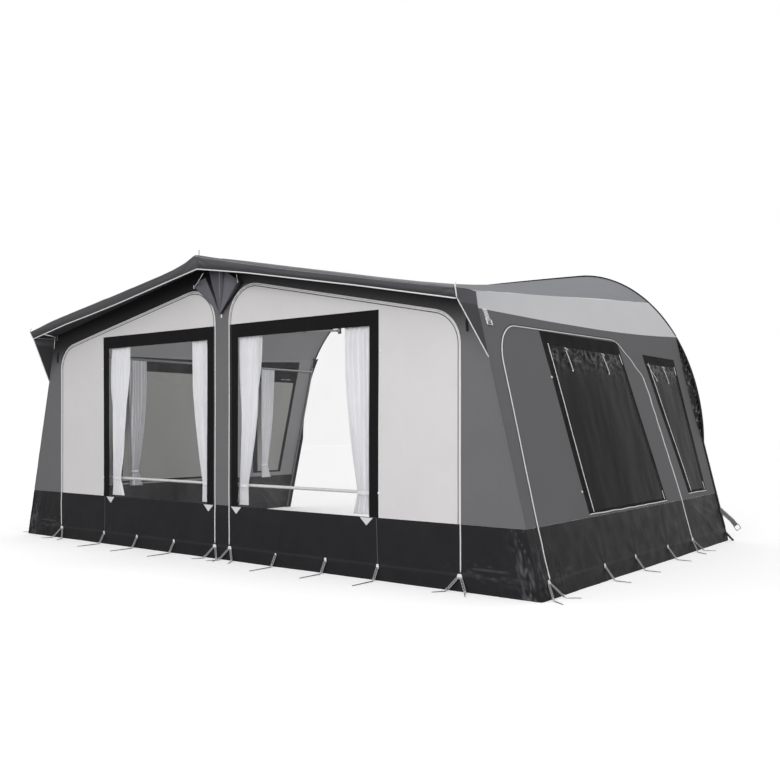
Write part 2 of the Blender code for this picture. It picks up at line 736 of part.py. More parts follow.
def hood_edge(share):
    """Upper front edge of the hood, from the apex at 0 to a tip at 1."""
    height = mixed(HOOD_APEX_HEIGHT, HOOD_TIP_HEIGHT, share) + HOOD_PEAK * (1 - share) ** HOOD_PEAK_CURVE
    return Vector((CREASE_FRONT_X * share, -mixed(HOOD_APEX_REACH, HOOD_TIP_REACH, share), height))


def valance_edge(share):
    drop = mixed(VALANCE_APEX_DROP + HOOD_PEAK * (1 - share) ** HOOD_PEAK_CURVE, VALANCE_TIP_DROP, share)
    return hood_edge(share) - Vector((0, 0, drop))


def hood_shares():
    """Places along the hood's edge, closer together at the apex."""
    return [(column / HOOD_COLUMNS) ** 2 for column in range(HOOD_COLUMNS + 1)]


def pin_place(share):
    """Where an arm's pin passes through the hood, inside its edge."""
    edge = hood_edge(share)
    return Vector((edge.x - PIN_INSET * share, edge.y + PIN_INSET, edge.z))


def build_hood():
    patches = []
    at_wall = -2 * GAP
    for sign in (-1, 1):
        turn = lambda point: Vector((sign * point.x, FRONT_Y + point.y, point.z))
        shares = hood_shares()
        wall = [Vector((CREASE_FRONT_X * share, at_wall, gable_height(CREASE_FRONT_X * share)))
                for share in shares]
        edge = [hood_edge(share) for share in shares]
        drop = [valance_edge(share) for share in shares]
        corner = Vector((wall_x(EAVE_FRONT_HEIGHT), at_wall, EAVE_FRONT_HEIGHT))
        foot = Vector((wall_x(HOOD_END_FOOT_HEIGHT), at_wall, HOOD_END_FOOT_HEIGHT))
        patches.append([[turn(point) for point in row] for row in (wall, edge, drop)])
        patches.append([[turn(wall[-1]), turn(edge[-1])], [turn(corner), turn(drop[-1])]])
        work = [turn(corner), turn(drop[-1]), turn(foot)]
        patches.append([[work[0], work[1]], [work[0].lerp(work[2], 0.5), work[1].lerp(work[2], 0.5)]])
        patches.append([patches[-1][1], [work[2], work[2]]])
    made = bmesh.new()
    for rows in patches:
        placed = [[made.verts.new(point) for point in row] for row in rows]
        for low, high in zip(placed, placed[1:]):
            for a, b, c, d in zip(low, low[1:], high[1:], high):
                corners = [a, b, c, d] if (c.co - d.co).length > 0 else [a, b, c]
                made.faces.new(corners)
    surface = bpy.data.meshes.new("hood")
    made.to_mesh(surface)
    made.free()
    shell = solidified(weld(surface), FABRIC, Vector((0, -1, 1)))
    holes = []
    for place in (pin_place(0), pin_place(1)):
        for sign in (-1, 1):
            x = sign * place.x
            if sign < 0 and place.x == 0:
                continue
            middle = Vector((x, FRONT_Y + place.y, place.z))
            half = Vector((0, 0, ARM_DROP))
            holes.append(cylinder(middle - half, middle + half, EYELET_RADIUS, 8))
    node("hood", combined(shell, [together(holes)], "DIFFERENCE"), HOOD_CLOTH)

    below = Vector((0, -FABRIC / 2, -PIPING_RADIUS - GAP))
    half = [valance_edge(share) + below for share in hood_shares()]
    whole = [Vector((-point.x, point.y, point.z)) for point in reversed(half[1:])] + half
    points = [point + Vector((0, FRONT_Y, 0)) for point in whole]
    node("hood_piping", tube(points, PIPING_RADIUS, 1), WHITE_CORD, smooth=True)


def build_gusset():
    rows = []
    for row in range(GUSSET_ROWS + 1):
        rise = row / GUSSET_ROWS
        half_width = mixed(GUSSET_FOOT_HALF_WIDTH, GUSSET_HALF_WIDTH, rise)
        depth = mixed(GUSSET_FOOT_DEPTH, GUSSET_DEPTH, rise)
        line = []
        for column in range(GUSSET_COLUMNS + 1):
            turn = math.pi * column / GUSSET_COLUMNS
            pleat = 1 + PLEAT_SHARE * rise * math.cos(2 * GUSSET_PLEATS * turn) * math.sin(turn)
            x = -half_width * math.cos(turn)
            y = -depth * math.sin(turn) * pleat - GAP
            height = mixed(GUSSET_SIDE_RISE, GUSSET_MIDDLE_RISE, math.sin(turn)) * rise
            line.append(Vector((x, FRONT_Y + y, GUSSET_FOOT_HEIGHT + height)))
        rows.append(line)
    shell = solidified(open_surface([rows]), GUSSET_CLOTH, Vector((0, -1, 0)))
    node("centre_gusset", shell, HOOD_CLOTH)


# Skirts and their pegging

def strap_outline(length):
    half = STRAP_WIDTH / 2
    outline = [(-half, 0), (half, 0), (half, length), (-half, length)]
    pitch = length / STRAP_SLOTS
    slot = pitch * STRAP_SLOT_LENGTH_SHARE / 2
    side = half * STRAP_SLOT_WIDTH_SHARE
    holes = []
    for index in range(STRAP_SLOTS):
        middle = pitch * (index + 0.5)
        holes.append([(-side, middle - slot), (side, middle - slot),
                      (side, middle + slot), (-side, middle + slot)])
    return outline, holes


def pegging(stations):
    """Ladder straps that hang from hooks on the hem and end at pegs lying on the ground.

    A station is (place, along, leans, reach): place puts (along, out, up) on its wall, and each
    lean is how far a strap's foot stands to one side of its hook.
    """
    straps, hooks, pegs = [], [], []
    length = math.hypot(STRAP_TOP_HEIGHT - STRAP_FOOT_HEIGHT, STRAP_FOOT_OUT - STRAP_TOP_OUT)
    outline, holes = strap_outline(length)
    floor = PEG_RADIUS + GAP
    nose = STRAP_FOOT_OUT + STRAP_THICKNESS / 2
    for place, along, leans, reach in stations:
        for lean in leans:
            top = along + math.copysign(VEE_TOP_SPREAD, lean) if lean else along
            foot = along + lean

            def lay(a, b, c):
                share = b / length
                out = mixed(STRAP_FOOT_OUT, STRAP_TOP_OUT, share) + c
                return place(mixed(foot, top, share) + a, out, mixed(STRAP_FOOT_HEIGHT, STRAP_TOP_HEIGHT, share))

            straps.append(flat_sheet(outline, lay, STRAP_THICKNESS, holes))
            splay = math.copysign(VEE_PEG_SPLAY, lean) if lean else 0
            run = [(foot, nose, PEG_NOSE), (foot, nose, floor), (foot + splay, reach, floor)]
            pegs.append(tube([place(*point) for point in run], PEG_RADIUS, 1))
        half = HOOK_WIDTH / 2 if len(leans) == 1 else HOOK_WIDTH / 2 + VEE_TOP_SPREAD
        low = STRAP_TOP_HEIGHT - HOOK_LAP
        hook = [(along - half, low), (along + half, low),
                (along + half / 2, low + HOOK_HEIGHT), (along - half / 2, low + HOOK_HEIGHT)]
        backed = lambda a, b, c: place(a, c - FABRIC / 2, b)
        hooks.append(flat_sheet(hook, backed, HOOK_DEPTH))
    return [together(straps), together(hooks), together(pegs)]


def build_skirts():
    """Each skirt is one piece with the ladder straps sewn to its hem and the pegs that they hold."""
    vee = (-VEE_SPREAD, VEE_SPREAD)
    foot, top = wall_x(0), wall_x(SKIRT_HEIGHT)
    outline = [(-foot, 0), (foot, 0), (top, SKIRT_HEIGHT), (-top, SKIRT_HEIGHT)]
    stations = []
    for _, sign in SIDES:
        front = lambda a, out, up, sign=sign: Vector((sign * a, FRONT_Y - out, up))
        stations += [(front, along, (0,), PEG_REACH) for along in FRONT_PEG_X]
        stations += [(front, along, vee, VEE_PEG_REACH) for along in (ZIP_INNER_X, ZIP_OUTER_X)]
    skirt = combined(flat_sheet(outline, on_front(1)), pegging(stations), "UNION")
    node("front_skirt", skirt, SKIRT_PVC)

    start = FABRIC + GAP
    outline = [(start, 0), (WALL_REAR_Y, 0), (WALL_REAR_Y, SKIRT_HEIGHT), (start, SKIRT_HEIGHT)]
    for side, sign in SIDES:
        beside = lambda a, out, up: Vector((sign * (wall_x(up) + out), FRONT_Y + a, up))
        stations = [(beside, along, (0,), SIDE_PEG_REACH) for along in SIDE_PEG_Y]
        stations += [(beside, along, vee, VEE_PEG_REACH) for along in (SIDE_ZIP_Y, SIDE_ZIP_FOOT_Y)]
        skirt = combined(flat_sheet(outline, on_side(sign)), pegging(stations), "UNION")
        node("side_skirt_" + side, skirt, SKIRT_PVC)


# Steel frame

def toward(start, end):
    return (Vector(end) - Vector(start)).normalized()


HUBS = {
    "centre": Vector((0, FRONT_Y + LEG_Y, APEX_HUB_HEIGHT)),
    "left": Vector((-CORNER_X, FRONT_Y + LEG_Y, CORNER_HUB_HEIGHT)),
    "right": Vector((CORNER_X, FRONT_Y + LEG_Y, CORNER_HUB_HEIGHT)),
}
SIDE_BRACKET_X = rail_x(crease_rear_height()) * SIDE_BRACKET_SHARE
SIDE_BRACKET_HEIGHT = crease_rear_height() - SIDE_BRACKET_DROP
BRACKETS = {
    "centre": Vector((0, FRONT_Y + TENT_DEPTH, CENTRE_BRACKET_HEIGHT)),
    "left": Vector((-SIDE_BRACKET_X, FRONT_Y + TENT_DEPTH, SIDE_BRACKET_HEIGHT)),
    "right": Vector((SIDE_BRACKET_X, FRONT_Y + TENT_DEPTH, SIDE_BRACKET_HEIGHT)),
}


def bracket_socket(place):
    """Front end of the socket that stands out of a bracket's plate."""
    return BRACKETS[place] - Vector((0, BRACKET_PLATE + BRACKET_SOCKET, 0))


def arm_points(place):
    """Run of a hub's arm, out to the hood and up through it as a pin."""
    hub = HUBS[place]
    pin = pin_place(0 if place == "centre" else 1)
    low = Vector((math.copysign(pin.x, hub.x), FRONT_Y + pin.y, pin.z - ARM_DROP))
    return [hub, low, low + Vector((0, 0, ARM_DROP + PIN_RISE))]


def arm_crossing(place):
    """Where a hub's arm passes through the front wall."""
    hub, low, _ = arm_points(place)
    return hub.lerp(low, (hub.y - FRONT_Y) / (hub.y - low.y))


def build_connectors():
    """Each hub joins its tubes by collars and carries the hood's arm and pin."""
    for place, hub in HUBS.items():
        ends = [Vector((hub.x, hub.y, 0)), bracket_socket(place)]
        if place == "centre":
            ends += [HUBS["left"], HUBS["right"]]
        else:
            ends.append(HUBS["centre"])
        collars = []
        for end in ends:
            collars.append(cylinder(hub, hub + toward(hub, end) * COLLAR_LENGTH, COLLAR_RADIUS))
        arm = tube(arm_points(place), ARM_RADIUS, 2)
        work = bmesh.new()
        bmesh.ops.create_uvsphere(work, u_segments=ROUND_SIDES, v_segments=ROUND_SIDES // 2,
                                  radius=HUB_RADIUS, matrix=Matrix.Translation(hub))
        ball = bpy.data.meshes.new("hub")
        work.to_mesh(ball)
        work.free()
        node("frame_connector_" + place, combined(ball, collars + [arm], "UNION"), STEEL)


def build_brackets():
    for place, middle in BRACKETS.items():
        half = Vector((BRACKET_WIDTH / 2, 0, BRACKET_HEIGHT / 2))
        plate = box(middle - half - Vector((0, BRACKET_PLATE, 0)), middle + half)
        inside = middle - Vector((0, BRACKET_PLATE / 2, 0))
        socket = cylinder(inside, bracket_socket(place), COLLAR_RADIUS)
        node("rail_bracket_" + place, combined(plate, [socket], "UNION"), STEEL)


def between_collars(start, end, start_gap, end_gap):
    along = toward(start, end)
    return [Vector(start) + along * (start_gap + GAP), Vector(end) - along * (end_gap + GAP)]


def build_rafters():
    names = {"centre": "centre_rafter", "left": "side_rafter_left", "right": "side_rafter_right"}
    for place, name in names.items():
        tilt = toward(HUBS[place], bracket_socket(place)).y
        lap = TUBE_RADIUS * math.sqrt(1 - tilt ** 2)
        run = between_collars(HUBS[place], bracket_socket(place), COLLAR_LENGTH, lap)
        node(name, tube(run, TUBE_RADIUS), STEEL, smooth=True)
    for side, _ in SIDES:
        run = between_collars(HUBS["centre"], HUBS[side], COLLAR_LENGTH, COLLAR_LENGTH)
        node("gable_rail_" + side, tube(run, TUBE_RADIUS), STEEL, smooth=True)


def build_legs():
    inner = LEG_BORE - GAP
    for place, hub in HUBS.items():
        spot = Vector((hub.x, hub.y, 0))
        top = hub.z - COLLAR_LENGTH - GAP
        low = LEG_SPLIT_HEIGHT
        outer = turned([(LEG_BORE, low), (LEG_RADIUS, low), (LEG_RADIUS, top), (LEG_BORE, top)], spot)
        ring = mixed(LEG_BORE, LEG_RADIUS, 0.5)
        clamp = turned([(ring, low), (ring + CLAMP_WALL, low), (ring + CLAMP_WALL, low + CLAMP_HEIGHT),
                        (ring, low + CLAMP_HEIGHT)], spot)
        middle = spot + Vector((0, ring + CLAMP_WALL / 2, low + CLAMP_HEIGHT / 2))
        screw = cylinder(middle, middle + Vector((0, WING_LENGTH, 0)), CLAMP_WALL / 2, 8)
        wing_low = middle + Vector((-WING_HALF_WIDTH, WING_LENGTH - WING_THICKNESS, -CLAMP_WALL))
        wing_high = middle + Vector((WING_HALF_WIDTH, WING_LENGTH + GAP, CLAMP_WALL))
        leg = combined(outer, [clamp, screw, box(wing_low, wing_high)], "UNION")
        node("leg_upper_" + place, leg, STEEL, smooth=True)
        cup = FOOT_CUP_HEIGHT
        foot = [(0, 0), (FOOT_RADIUS, 0), (FOOT_RADIUS, FOOT_PLATE), (FOOT_CUP_RADIUS, FOOT_PLATE * 2),
                (FOOT_CUP_RADIUS, cup), (0, cup)]
        shaft = cylinder(spot + Vector((0, 0, cup / 2)), spot + Vector((0, 0, low + LEG_LAP)), inner)
        node("leg_lower_" + place, combined(turned(foot, spot), [shaft], "UNION"), STEEL, smooth=True)


def leaning_reach(radius):
    """Middle of a tube that lies against the inside of a leaning wall, measured level."""
    return FABRIC + GAP + radius * math.hypot(1, WALL_LEAN_SHARE)


def build_rails():
    gap = LEG_RADIUS + GAP
    for side, sign in SIDES:
        run = [(sign * gap, FRONT_Y + LEG_Y, VERANDA_RAIL_HEIGHT),
               (sign * (CORNER_X - gap), FRONT_Y + LEG_Y, VERANDA_RAIL_HEIGHT)]
        node("veranda_rail_" + side, tube(run, RAIL_TUBE_RADIUS), WHITE_PLASTIC, smooth=True)

    upright_y = WALL_REAR_Y - TUBE_RADIUS - GAP
    reach = leaning_reach(TUBE_RADIUS)
    for side, sign in SIDES:
        run = [(sign * (wall_x(height) - reach), FRONT_Y + upright_y, height)
               for height in (FOOT_PLATE / 2, UPRIGHT_TOP)]
        outer = sign * (wall_x(FOOT_PLATE) - FABRIC - GAP)
        inner = outer - sign * FOOT_WIDTH
        low = Vector((min(outer, inner), FRONT_Y + upright_y - FOOT_WIDTH / 2, 0))
        high = Vector((max(outer, inner), FRONT_Y + upright_y + TUBE_RADIUS, FOOT_PLATE))
        upright = combined(tube(run, TUBE_RADIUS), [box(low, high)], "UNION")
        node("rear_upright_" + side, upright, STEEL, smooth=True)
        x = wall_x(EAVES_RAIL_HEIGHT) - reach
        rear = upright_y - TUBE_RADIUS - GAP
        run = [(sign * (CORNER_X + gap), FRONT_Y + LEG_Y, EAVES_RAIL_HEIGHT),
               (sign * x, FRONT_Y + LEG_Y, EAVES_RAIL_HEIGHT),
               (sign * x, FRONT_Y + rear, EAVES_RAIL_HEIGHT)]
        node("eaves_rail_" + side, tube(run, TUBE_RADIUS), STEEL, smooth=True)


# Curtains

def curtain_rows(top, tie, foot, top_height, foot_height):
    """Rows of (along, fold, height) points of a tied curtain, whose folds close up at the tie."""
    rows = []
    for row in range(CURTAIN_ROWS + 1):
        share = row / CURTAIN_ROWS
        height = mixed(top_height, foot_height, share)
        if height > CURTAIN_TIE_HEIGHT:
            fall = (top_height - height) / (top_height - CURTAIN_TIE_HEIGHT)
            ease = fall ** 2
            ends = [mixed(a, b, ease) for a, b in zip(top, tie)]
        else:
            flare = (CURTAIN_TIE_HEIGHT - height) / (CURTAIN_TIE_HEIGHT - foot_height)
            ends = [mixed(a, b, flare) for a, b in zip(tie, foot)]
        line = []
        for column in range(CURTAIN_COLUMNS + 1):
            across = column / CURTAIN_COLUMNS
            fold = math.sin(math.tau * CURTAIN_FOLDS * across) * CURTAIN_FOLD_DEPTH
            line.append((mixed(*ends, across), fold, height))
        rows.append(line)
    return rows


def build_curtains():
    foot_height = SEAM + CURTAIN_FOOT_CLEARANCE
    top_height = TRACK_BOTTOM - GAP
    hung = FABRIC + CURTAIN_BACK + CURTAIN_FOLD_DEPTH
    shapes = {"outer": (OUTER_CURTAIN_TOP, OUTER_CURTAIN_TIE, OUTER_CURTAIN_FOOT),
              "inner": (INNER_CURTAIN_TOP, INNER_CURTAIN_TIE, INNER_CURTAIN_FOOT)}
    for side, sign in SIDES:
        track = box((ZIP_INNER_X + TRACK_INSET, FRONT_Y + FABRIC + GAP, TRACK_BOTTOM),
                    (WINDOW_OUTER_X - TRACK_INSET, FRONT_Y + FABRIC + GAP + TRACK_DEPTH,
                     TRACK_BOTTOM + TRACK_HEIGHT))
        for vertex in track.vertices:
            vertex.co.x *= sign
        node("curtain_track_" + side, weld(track), WHITE_PLASTIC)
        for place, (top, tie, foot) in shapes.items():
            rows = [[Vector((sign * along, FRONT_Y + hung + fold, height)) for along, fold, height in row]
                    for row in curtain_rows(top, tie, foot, top_height, foot_height)]
            sheet = thick_loft(rows, Vector((0, CURTAIN_CLOTH, 0)))
            node(f"curtain_{place}_{side}", sheet, CURTAIN_WHITE, smooth=True)

    top_height = EAVES_RAIL_HEIGHT - TUBE_RADIUS - GAP
    middle = wall_x(EAVES_RAIL_HEIGHT) - leaning_reach(TUBE_RADIUS) - SIDE_CURTAIN_INSET
    for side, sign in SIDES:
        for place, start in (("front", FRONT_SIDE_CURTAIN_Y), ("rear", REAR_SIDE_CURTAIN_Y)):
            spans = [(start, start + width) for width in
                     (SIDE_CURTAIN_TOP_WIDTH, SIDE_CURTAIN_TIE_WIDTH, SIDE_CURTAIN_FOOT_WIDTH)]
            rows = [[Vector((sign * (middle + fold), FRONT_Y + along, height)) for along, fold, height in row]
                    for row in curtain_rows(*spans, top_height, foot_height)]
            sheet = thick_loft(rows, Vector((-sign * CURTAIN_CLOTH, 0, 0)))
            node(f"side_curtain_{place}_{side}", sheet, CURTAIN_WHITE, smooth=True)


build_skirts()
build_front_surround()
build_front_panels()
build_side_walls()
build_rear_edge()
build_roof()
build_hood()
build_gusset()
build_connectors()
build_brackets()
build_rafters()
build_legs()
build_rails()
build_curtains()
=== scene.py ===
# Looks of a caravan awning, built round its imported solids.
# Metres, +Z up. The front wall faces -Y, the open rear lies at +Y, and the awning mirrors about X = 0.

import math

import bmesh
import bpy
from mathutils import Matrix, Vector, noise


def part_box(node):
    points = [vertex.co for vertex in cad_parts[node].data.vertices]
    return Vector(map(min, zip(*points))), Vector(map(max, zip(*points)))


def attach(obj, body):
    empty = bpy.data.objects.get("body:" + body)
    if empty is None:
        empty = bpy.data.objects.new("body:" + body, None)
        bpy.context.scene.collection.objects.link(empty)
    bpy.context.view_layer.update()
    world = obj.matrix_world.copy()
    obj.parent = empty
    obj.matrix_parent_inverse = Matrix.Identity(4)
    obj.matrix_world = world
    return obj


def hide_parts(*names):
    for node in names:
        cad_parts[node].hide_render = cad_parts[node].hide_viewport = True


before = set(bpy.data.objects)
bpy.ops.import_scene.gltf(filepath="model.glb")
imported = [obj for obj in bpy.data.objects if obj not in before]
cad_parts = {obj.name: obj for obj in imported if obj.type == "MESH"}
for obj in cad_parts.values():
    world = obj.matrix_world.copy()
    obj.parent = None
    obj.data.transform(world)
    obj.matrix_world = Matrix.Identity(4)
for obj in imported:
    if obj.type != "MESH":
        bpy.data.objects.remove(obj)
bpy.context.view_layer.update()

# Camera, stage and lamps
CAMERA_PLACE = (5.024, -6.0745, 0.999)
CAMERA_YAW = 0.655              # turned left of +Y, radians
CAMERA_LENS = 40.86             # on a 36 mm sensor
CAMERA_SHIFT = 0.046
FLOOR_SIZE = 60.0
FLOOR_GLOW = 0.4
FLOOR_SHARES = (0.3, 0.8)       # how pale the floor is to light, and to the camera
SKY_STOPS = ((0.38, 0.35), (0.52, 1), (1, 0.62))    # height from nadir to zenith, and share of the light
KEY_LAMP = ("key", (4.0, -11.0, 3.4), (0.0, 0.0, 1.0), (5.0, 5.0), 520.0)      # place, aim, size, power
INSIDE_LAMP = ("inside", (1.3, 0.2, 1.4), (-2.2, 0.2, 1.1), (1.6, 0.8), 40.0)

# Sizes that the solids give
FRONT_LOW, FRONT_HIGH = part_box("front_panel_right")
FRONT_Y, SEAM = FRONT_LOW.y, FRONT_LOW.z
ZIP_INNER_X, ZIP_OUTER_X = FRONT_LOW.x, FRONT_HIGH.x
SKIRT_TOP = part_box("side_skirt_right")[1].z
REAR_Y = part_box("keder")[1].y
TENT_DEPTH = REAR_Y - FRONT_Y
WALL_REAR_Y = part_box("side_surround_right")[1].y - FRONT_Y
TRACK_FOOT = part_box("curtain_track_right")[0].z
EAVES_RAIL_LOW, EAVES_RAIL_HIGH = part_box("eaves_rail_right")

# Walls and roof
GAP = 0.0003
CLOTH = 0.0012                  # thickness of the cloth that shows
PVC = 0.0009
FABRIC = 0.004                  # thickness of a solid panel
FOOT_HALF_WIDTH = 2.66
WALL_LEAN_SHARE = 0.25
EAVE_FRONT_HEIGHT = 1.70
EAVE_REAR_HEIGHT = 1.80
EAVE_CURVE = 2.5
HEADER_DEPTH = 0.15
APEX_HEIGHT = 2.247
CREASE_FRONT_X = 2.22
CREASE_FRONT_HEIGHT = 1.80
CREASE_REAR_HEIGHT = 2.1275
ROOF_BULGE_FALL = 4
ROOF_SAG = 0.025
ROOF_FLAT_WIDTH = 4.53
RAIL_HEIGHT = 2.455
RAIL_CROWN = 0.015
RAIL_FLAT_X = 1.26
RAIL_FOOT_HEIGHT = 0.85
RAIL_CURVE = 1.95
KEDER_RADIUS = 0.004
SEAL_WIDTH = 0.06
SEAL_THICKNESS = 0.012
ROOF_REAR_Y = TENT_DEPTH - 2 * KEDER_RADIUS - GAP
GABLE_SLOPE = (APEX_HEIGHT - CREASE_FRONT_HEIGHT) / CREASE_FRONT_X

# Hood and gusset
HOOD_APEX_REACH = 0.239
HOOD_TIP_REACH = 0.207
HOOD_APEX_HEIGHT = 2.225
HOOD_TIP_HEIGHT = 1.79
HOOD_PEAK = 0.02
HOOD_PEAK_CURVE = 10
HOOD_FLAT = (4.6, 0.34)
HOOD_END_FLAT = (0.55, 0.26)
HOOD_END_FOOT_HEIGHT = 1.404
HOOD_EDGE_LEAN = -0.03
HOOD_EDGE_LIE = (                # how far the cloth's front edge lies above its taut line, along X
    (-2.22, 0.036), (-1.85, 0.038), (-1.5, 0.024), (-1.0, 0), (-0.5, -0.022), (-0.25, -0.030),
    (-0.1, -0.028), (0, -0.014), (0.1, -0.013), (0.25, -0.008), (1.0, -0.010), (1.5, -0.006), (2.0, 0),
    (2.22, 0.006))
HOOD_FOOT_LIE = (                # the same for the valance's foot
    (-2.22, 0.040), (-1.7, 0.038), (-1.33, 0.024), (-1.0, 0.015), (-0.25, 0.007), (0, 0.004),
    (0.5, 0.018), (1.5, 0.018), (2.0, 0.012), (2.22, 0.009))
VALANCE_APEX_DROP = 0.089
VALANCE_TIP_DROP = 0.061
PIPING_RADIUS = 0.0035
CORD_RADIUS = 0.0042
GUSSET_FOOT_HEIGHT = 1.84
GUSSET_TIP_OUT = 0.028
GUSSET_RIM = (                   # along the rim: across, out from the wall, height, and how dark its painted shade is
    (-0.222, 0.008, 2.050, 1.0), (-0.235, 0.070, 2.052, 0.0), (-0.190, 0.090, 2.066, 0.0),
    (-0.120, 0.112, 2.080, 0.1), (-0.055, 0.122, 2.092, 0.1), (-0.047, 0.118, 2.096, 1.0),
    (-0.040, 0.060, 2.110, 1.0), (-0.026, 0.112, 2.150, 0.9), (-0.012, 0.125, 2.155, 0.35),
    (0.050, 0.128, 2.158, 0.45), (0.098, 0.124, 2.155, 0.35), (0.112, 0.128, 2.152, -0.6),
    (0.120, 0.122, 2.148, -0.6), (0.132, 0.092, 2.140, 0.7), (0.150, 0.106, 2.130, 0.2),
    (0.185, 0.098, 2.104, 0.0), (0.220, 0.086, 2.076, 0.0), (0.245, 0.070, 2.050, 0.1),
    (0.232, 0.008, 2.050, 1.0))

# Panels and windows
PANEL_ROUNDS = (0.22, 0.25)
SIDE_ZIP_Y = 0.132
SIDE_PANEL_TOP_FRONT = 1.632
SIDE_PANEL_TOP_REAR = 1.667
SIDE_PANEL_TOP_Y = 1.968
SIDE_PANEL_SHOULDER = (2.373, 1.391)
SIDE_PANEL_FOOT_Y = 2.555
SIDE_ZIP_FOOT_Y = 2.585
SIDE_ZIP_ROUNDS = (0.26, 0.3, 0.3, 0.5)
ZIP_FOOT_HEIGHT = 0.118
WINDOW_OUTLINES = {
    "front": [(0.868, 0.424), (2.235, 0.424), (2.011, 1.612), (0.737, 1.612)],
    "rear": [(2.743, 0.45), (3.19, 0.45), (3.19, 1.577), (2.462, 1.577)],
}
WINDOW_STRAPS = {                # upper and lower ends
    "front": [((1.063, 1.556), (1.105, 1.378)), ((1.664, 1.585), (1.712, 1.386))],
    "rear": [((2.53, 1.545), (2.66, 1.372)), ((2.87, 1.55), (2.93, 1.36))],
}
RAISED_TOP_Y = (2.0, 0.732)                         # rear and front end of the front frame's raised top
SIDE_FRAME_WIDTHS = (0.018, 0.045, 0.07, 0.075)     # foot, rear, top, front
HINGE_HEIGHTS = (1.542, 1.507)                      # of the front and the rear window's top edge

# Curtains
CURTAIN_FOOT = SEAM + 0.012
CURTAIN_TIE_HEIGHT = 0.56
CURTAIN_FOLDS = 6
CURTAIN_FOLD_DEPTH = 0.016
CURTAIN_REACH = 0.0165          # of a fold to either side, at most
CURTAIN_BACK = 0.011
FRONT_CURTAINS = (               # spans at top, tie and foot, and a seed
    ("outer", ((1.41, 1.18), (1.39, 1.29), (1.40, 1.245)), 3.3),
    ("inner", ((0.165, 0.38), (0.165, 0.245), (0.155, 0.25)), 8.1))
SIDE_CURTAIN_WIDTHS = (0.20, 0.09, 0.14)
SIDE_CURTAIN_STARTS = {"front": 0.80, "rear": 2.56}
SIDE_CURTAIN_INSET = 0.014
TUBE_RADIUS = 0.0125

# Skirts and pegging
PEG_REACH = 0.26
SIDE_PEG_REACH = 0.16
PEG_RADIUS = 0.0035
STRAP_WIDTH = 0.014
STRAP_THICKNESS = 0.003
STRAP_OUT = (0.003, 0.045)       # top and foot
STRAP_HEIGHT = (0.088, 0.007)
STRAP_RUNGS = 5
HOOK_HALF = 0.011
VEE_SPREAD = 0.068
VEE_TOP_SPREAD = 0.009
VEE_PEG_REACH = 0.13
VEE_PEG_SPLAY = 0.05
FRONT_PEG_X = (0.56, 1.03, 1.48)
SIDE_PEG_Y = (0.91, 1.42, 2.04)
FRONT_HOOKS = (ZIP_INNER_X, *FRONT_PEG_X, ZIP_OUTER_X)
SIDE_HOOKS = (SIDE_ZIP_Y, *SIDE_PEG_Y, SIDE_ZIP_FOOT_Y)
HEM_WELD_HEIGHT = 0.098

# Small fittings on the walls, placed (along the wall, up), or with how far out as a third number
FRONT_STUDS = ((1.5, 1.48), (1.49, 0.565))
SIDE_STUDS = ((0.762, 1.319), (0.835, 0.571))
CORNER_TAB_X = (1.44, 0.205)
CORNER_TAB_HALF = 0.0525
CORNER_TAB_DROP = 0.05
SKIRT_SEAM = ((1.47, SKIRT_TOP - 0.004, 0.0006), (1.478, HEM_WELD_HEIGHT, 0.0006))
CORNER_STRAP = ((2.165, 1.655, 0.004), (2.165, 1.61, 0.012), (2.168, 1.565, 0.009))
WELT_RADIUS = 0.0065
EAVE_TAB_TOP = (0.073, 1.694)
EAVE_TAB_STEP = (0.0028, 0.0095)    # from rib to rib, back and down
EAVE_BUCKLE = ((0.062, 1.640), (0.118, 1.636), (0.122, 1.606), (0.070, 1.608))
EAVE_BUCKLE_BAR = ((0.066, 1.624), (0.119, 1.621))
EAVE_TAB_BACK = ((0.076, 1.703, 0.002), (0.091, 1.63, 0.003))
GUSSET_CORDS = (                 # start across, and its end: across, out from the wall, height
    ("left", -0.235, (0.043, 0.222, 2.103)), ("right", 0.245, (0.396, 0.222, 2.055)))

# Widths of the strips that narrow pieces are cut from
SURROUND_STRIP = 0.25
FRONT_FRAME_STRIP = 0.085
SIDE_FRAME_STRIP = 0.06
GUSSET_STRIP = 0.26
FLAP_STRIP = 0.046
SEAL_SKIN_STRIP = 1.29
SEAL_SKIN_SPAN = (0.5, 1.79)

# Mesh spacings and sides
WALL_GRID = 0.028
FILM_GRID = 0.012
SKIRT_ROWS = 36
FRONT_SKIRT_COLUMNS = 420
SIDE_SKIRT_COLUMNS = 270
GUSSET_ROWS = 24
HOOD_END_COLUMNS = 12
HOOD_END_ROWS = (14, 30)        # above and below the valance's foot
BORDER_STEPS = 40
SEAL_SKIN_GRID = (90, 10)
CURTAIN_ROWS = 56
CURTAIN_FOLD_COLUMNS = 14
HOOD_RUNS = (                    # rows of the hood: 0 at the wall, 1 at its edge, 2 at the valance's foot
    0, 0.15, 0.3, 0.45, 0.6, 0.75, 0.88, 0.95, 0.98, 1, 1.03, 1.08, 1.16, 1.24, 1.32, 1.4, 1.48, 1.56,
    1.64, 1.72, 1.8, 1.88, 1.95, 2)
ARC_STEPS = 12
SIDES = (("left", -1), ("right", 1))
FRONT_OUT, UP = Vector((0, -1, 0)), Vector((0, 0, 1))


# Materials

LINING = "9c9c9e"


def srgb(code):
    """Linear colour of a six-digit sRGB code."""
    values = [int(code[index:index + 2], 16) / 255 for index in (0, 2, 4)]
    return [v / 12.92 if v <= 0.04045 else ((v + 0.055) / 1.055) ** 2.4 for v in values]


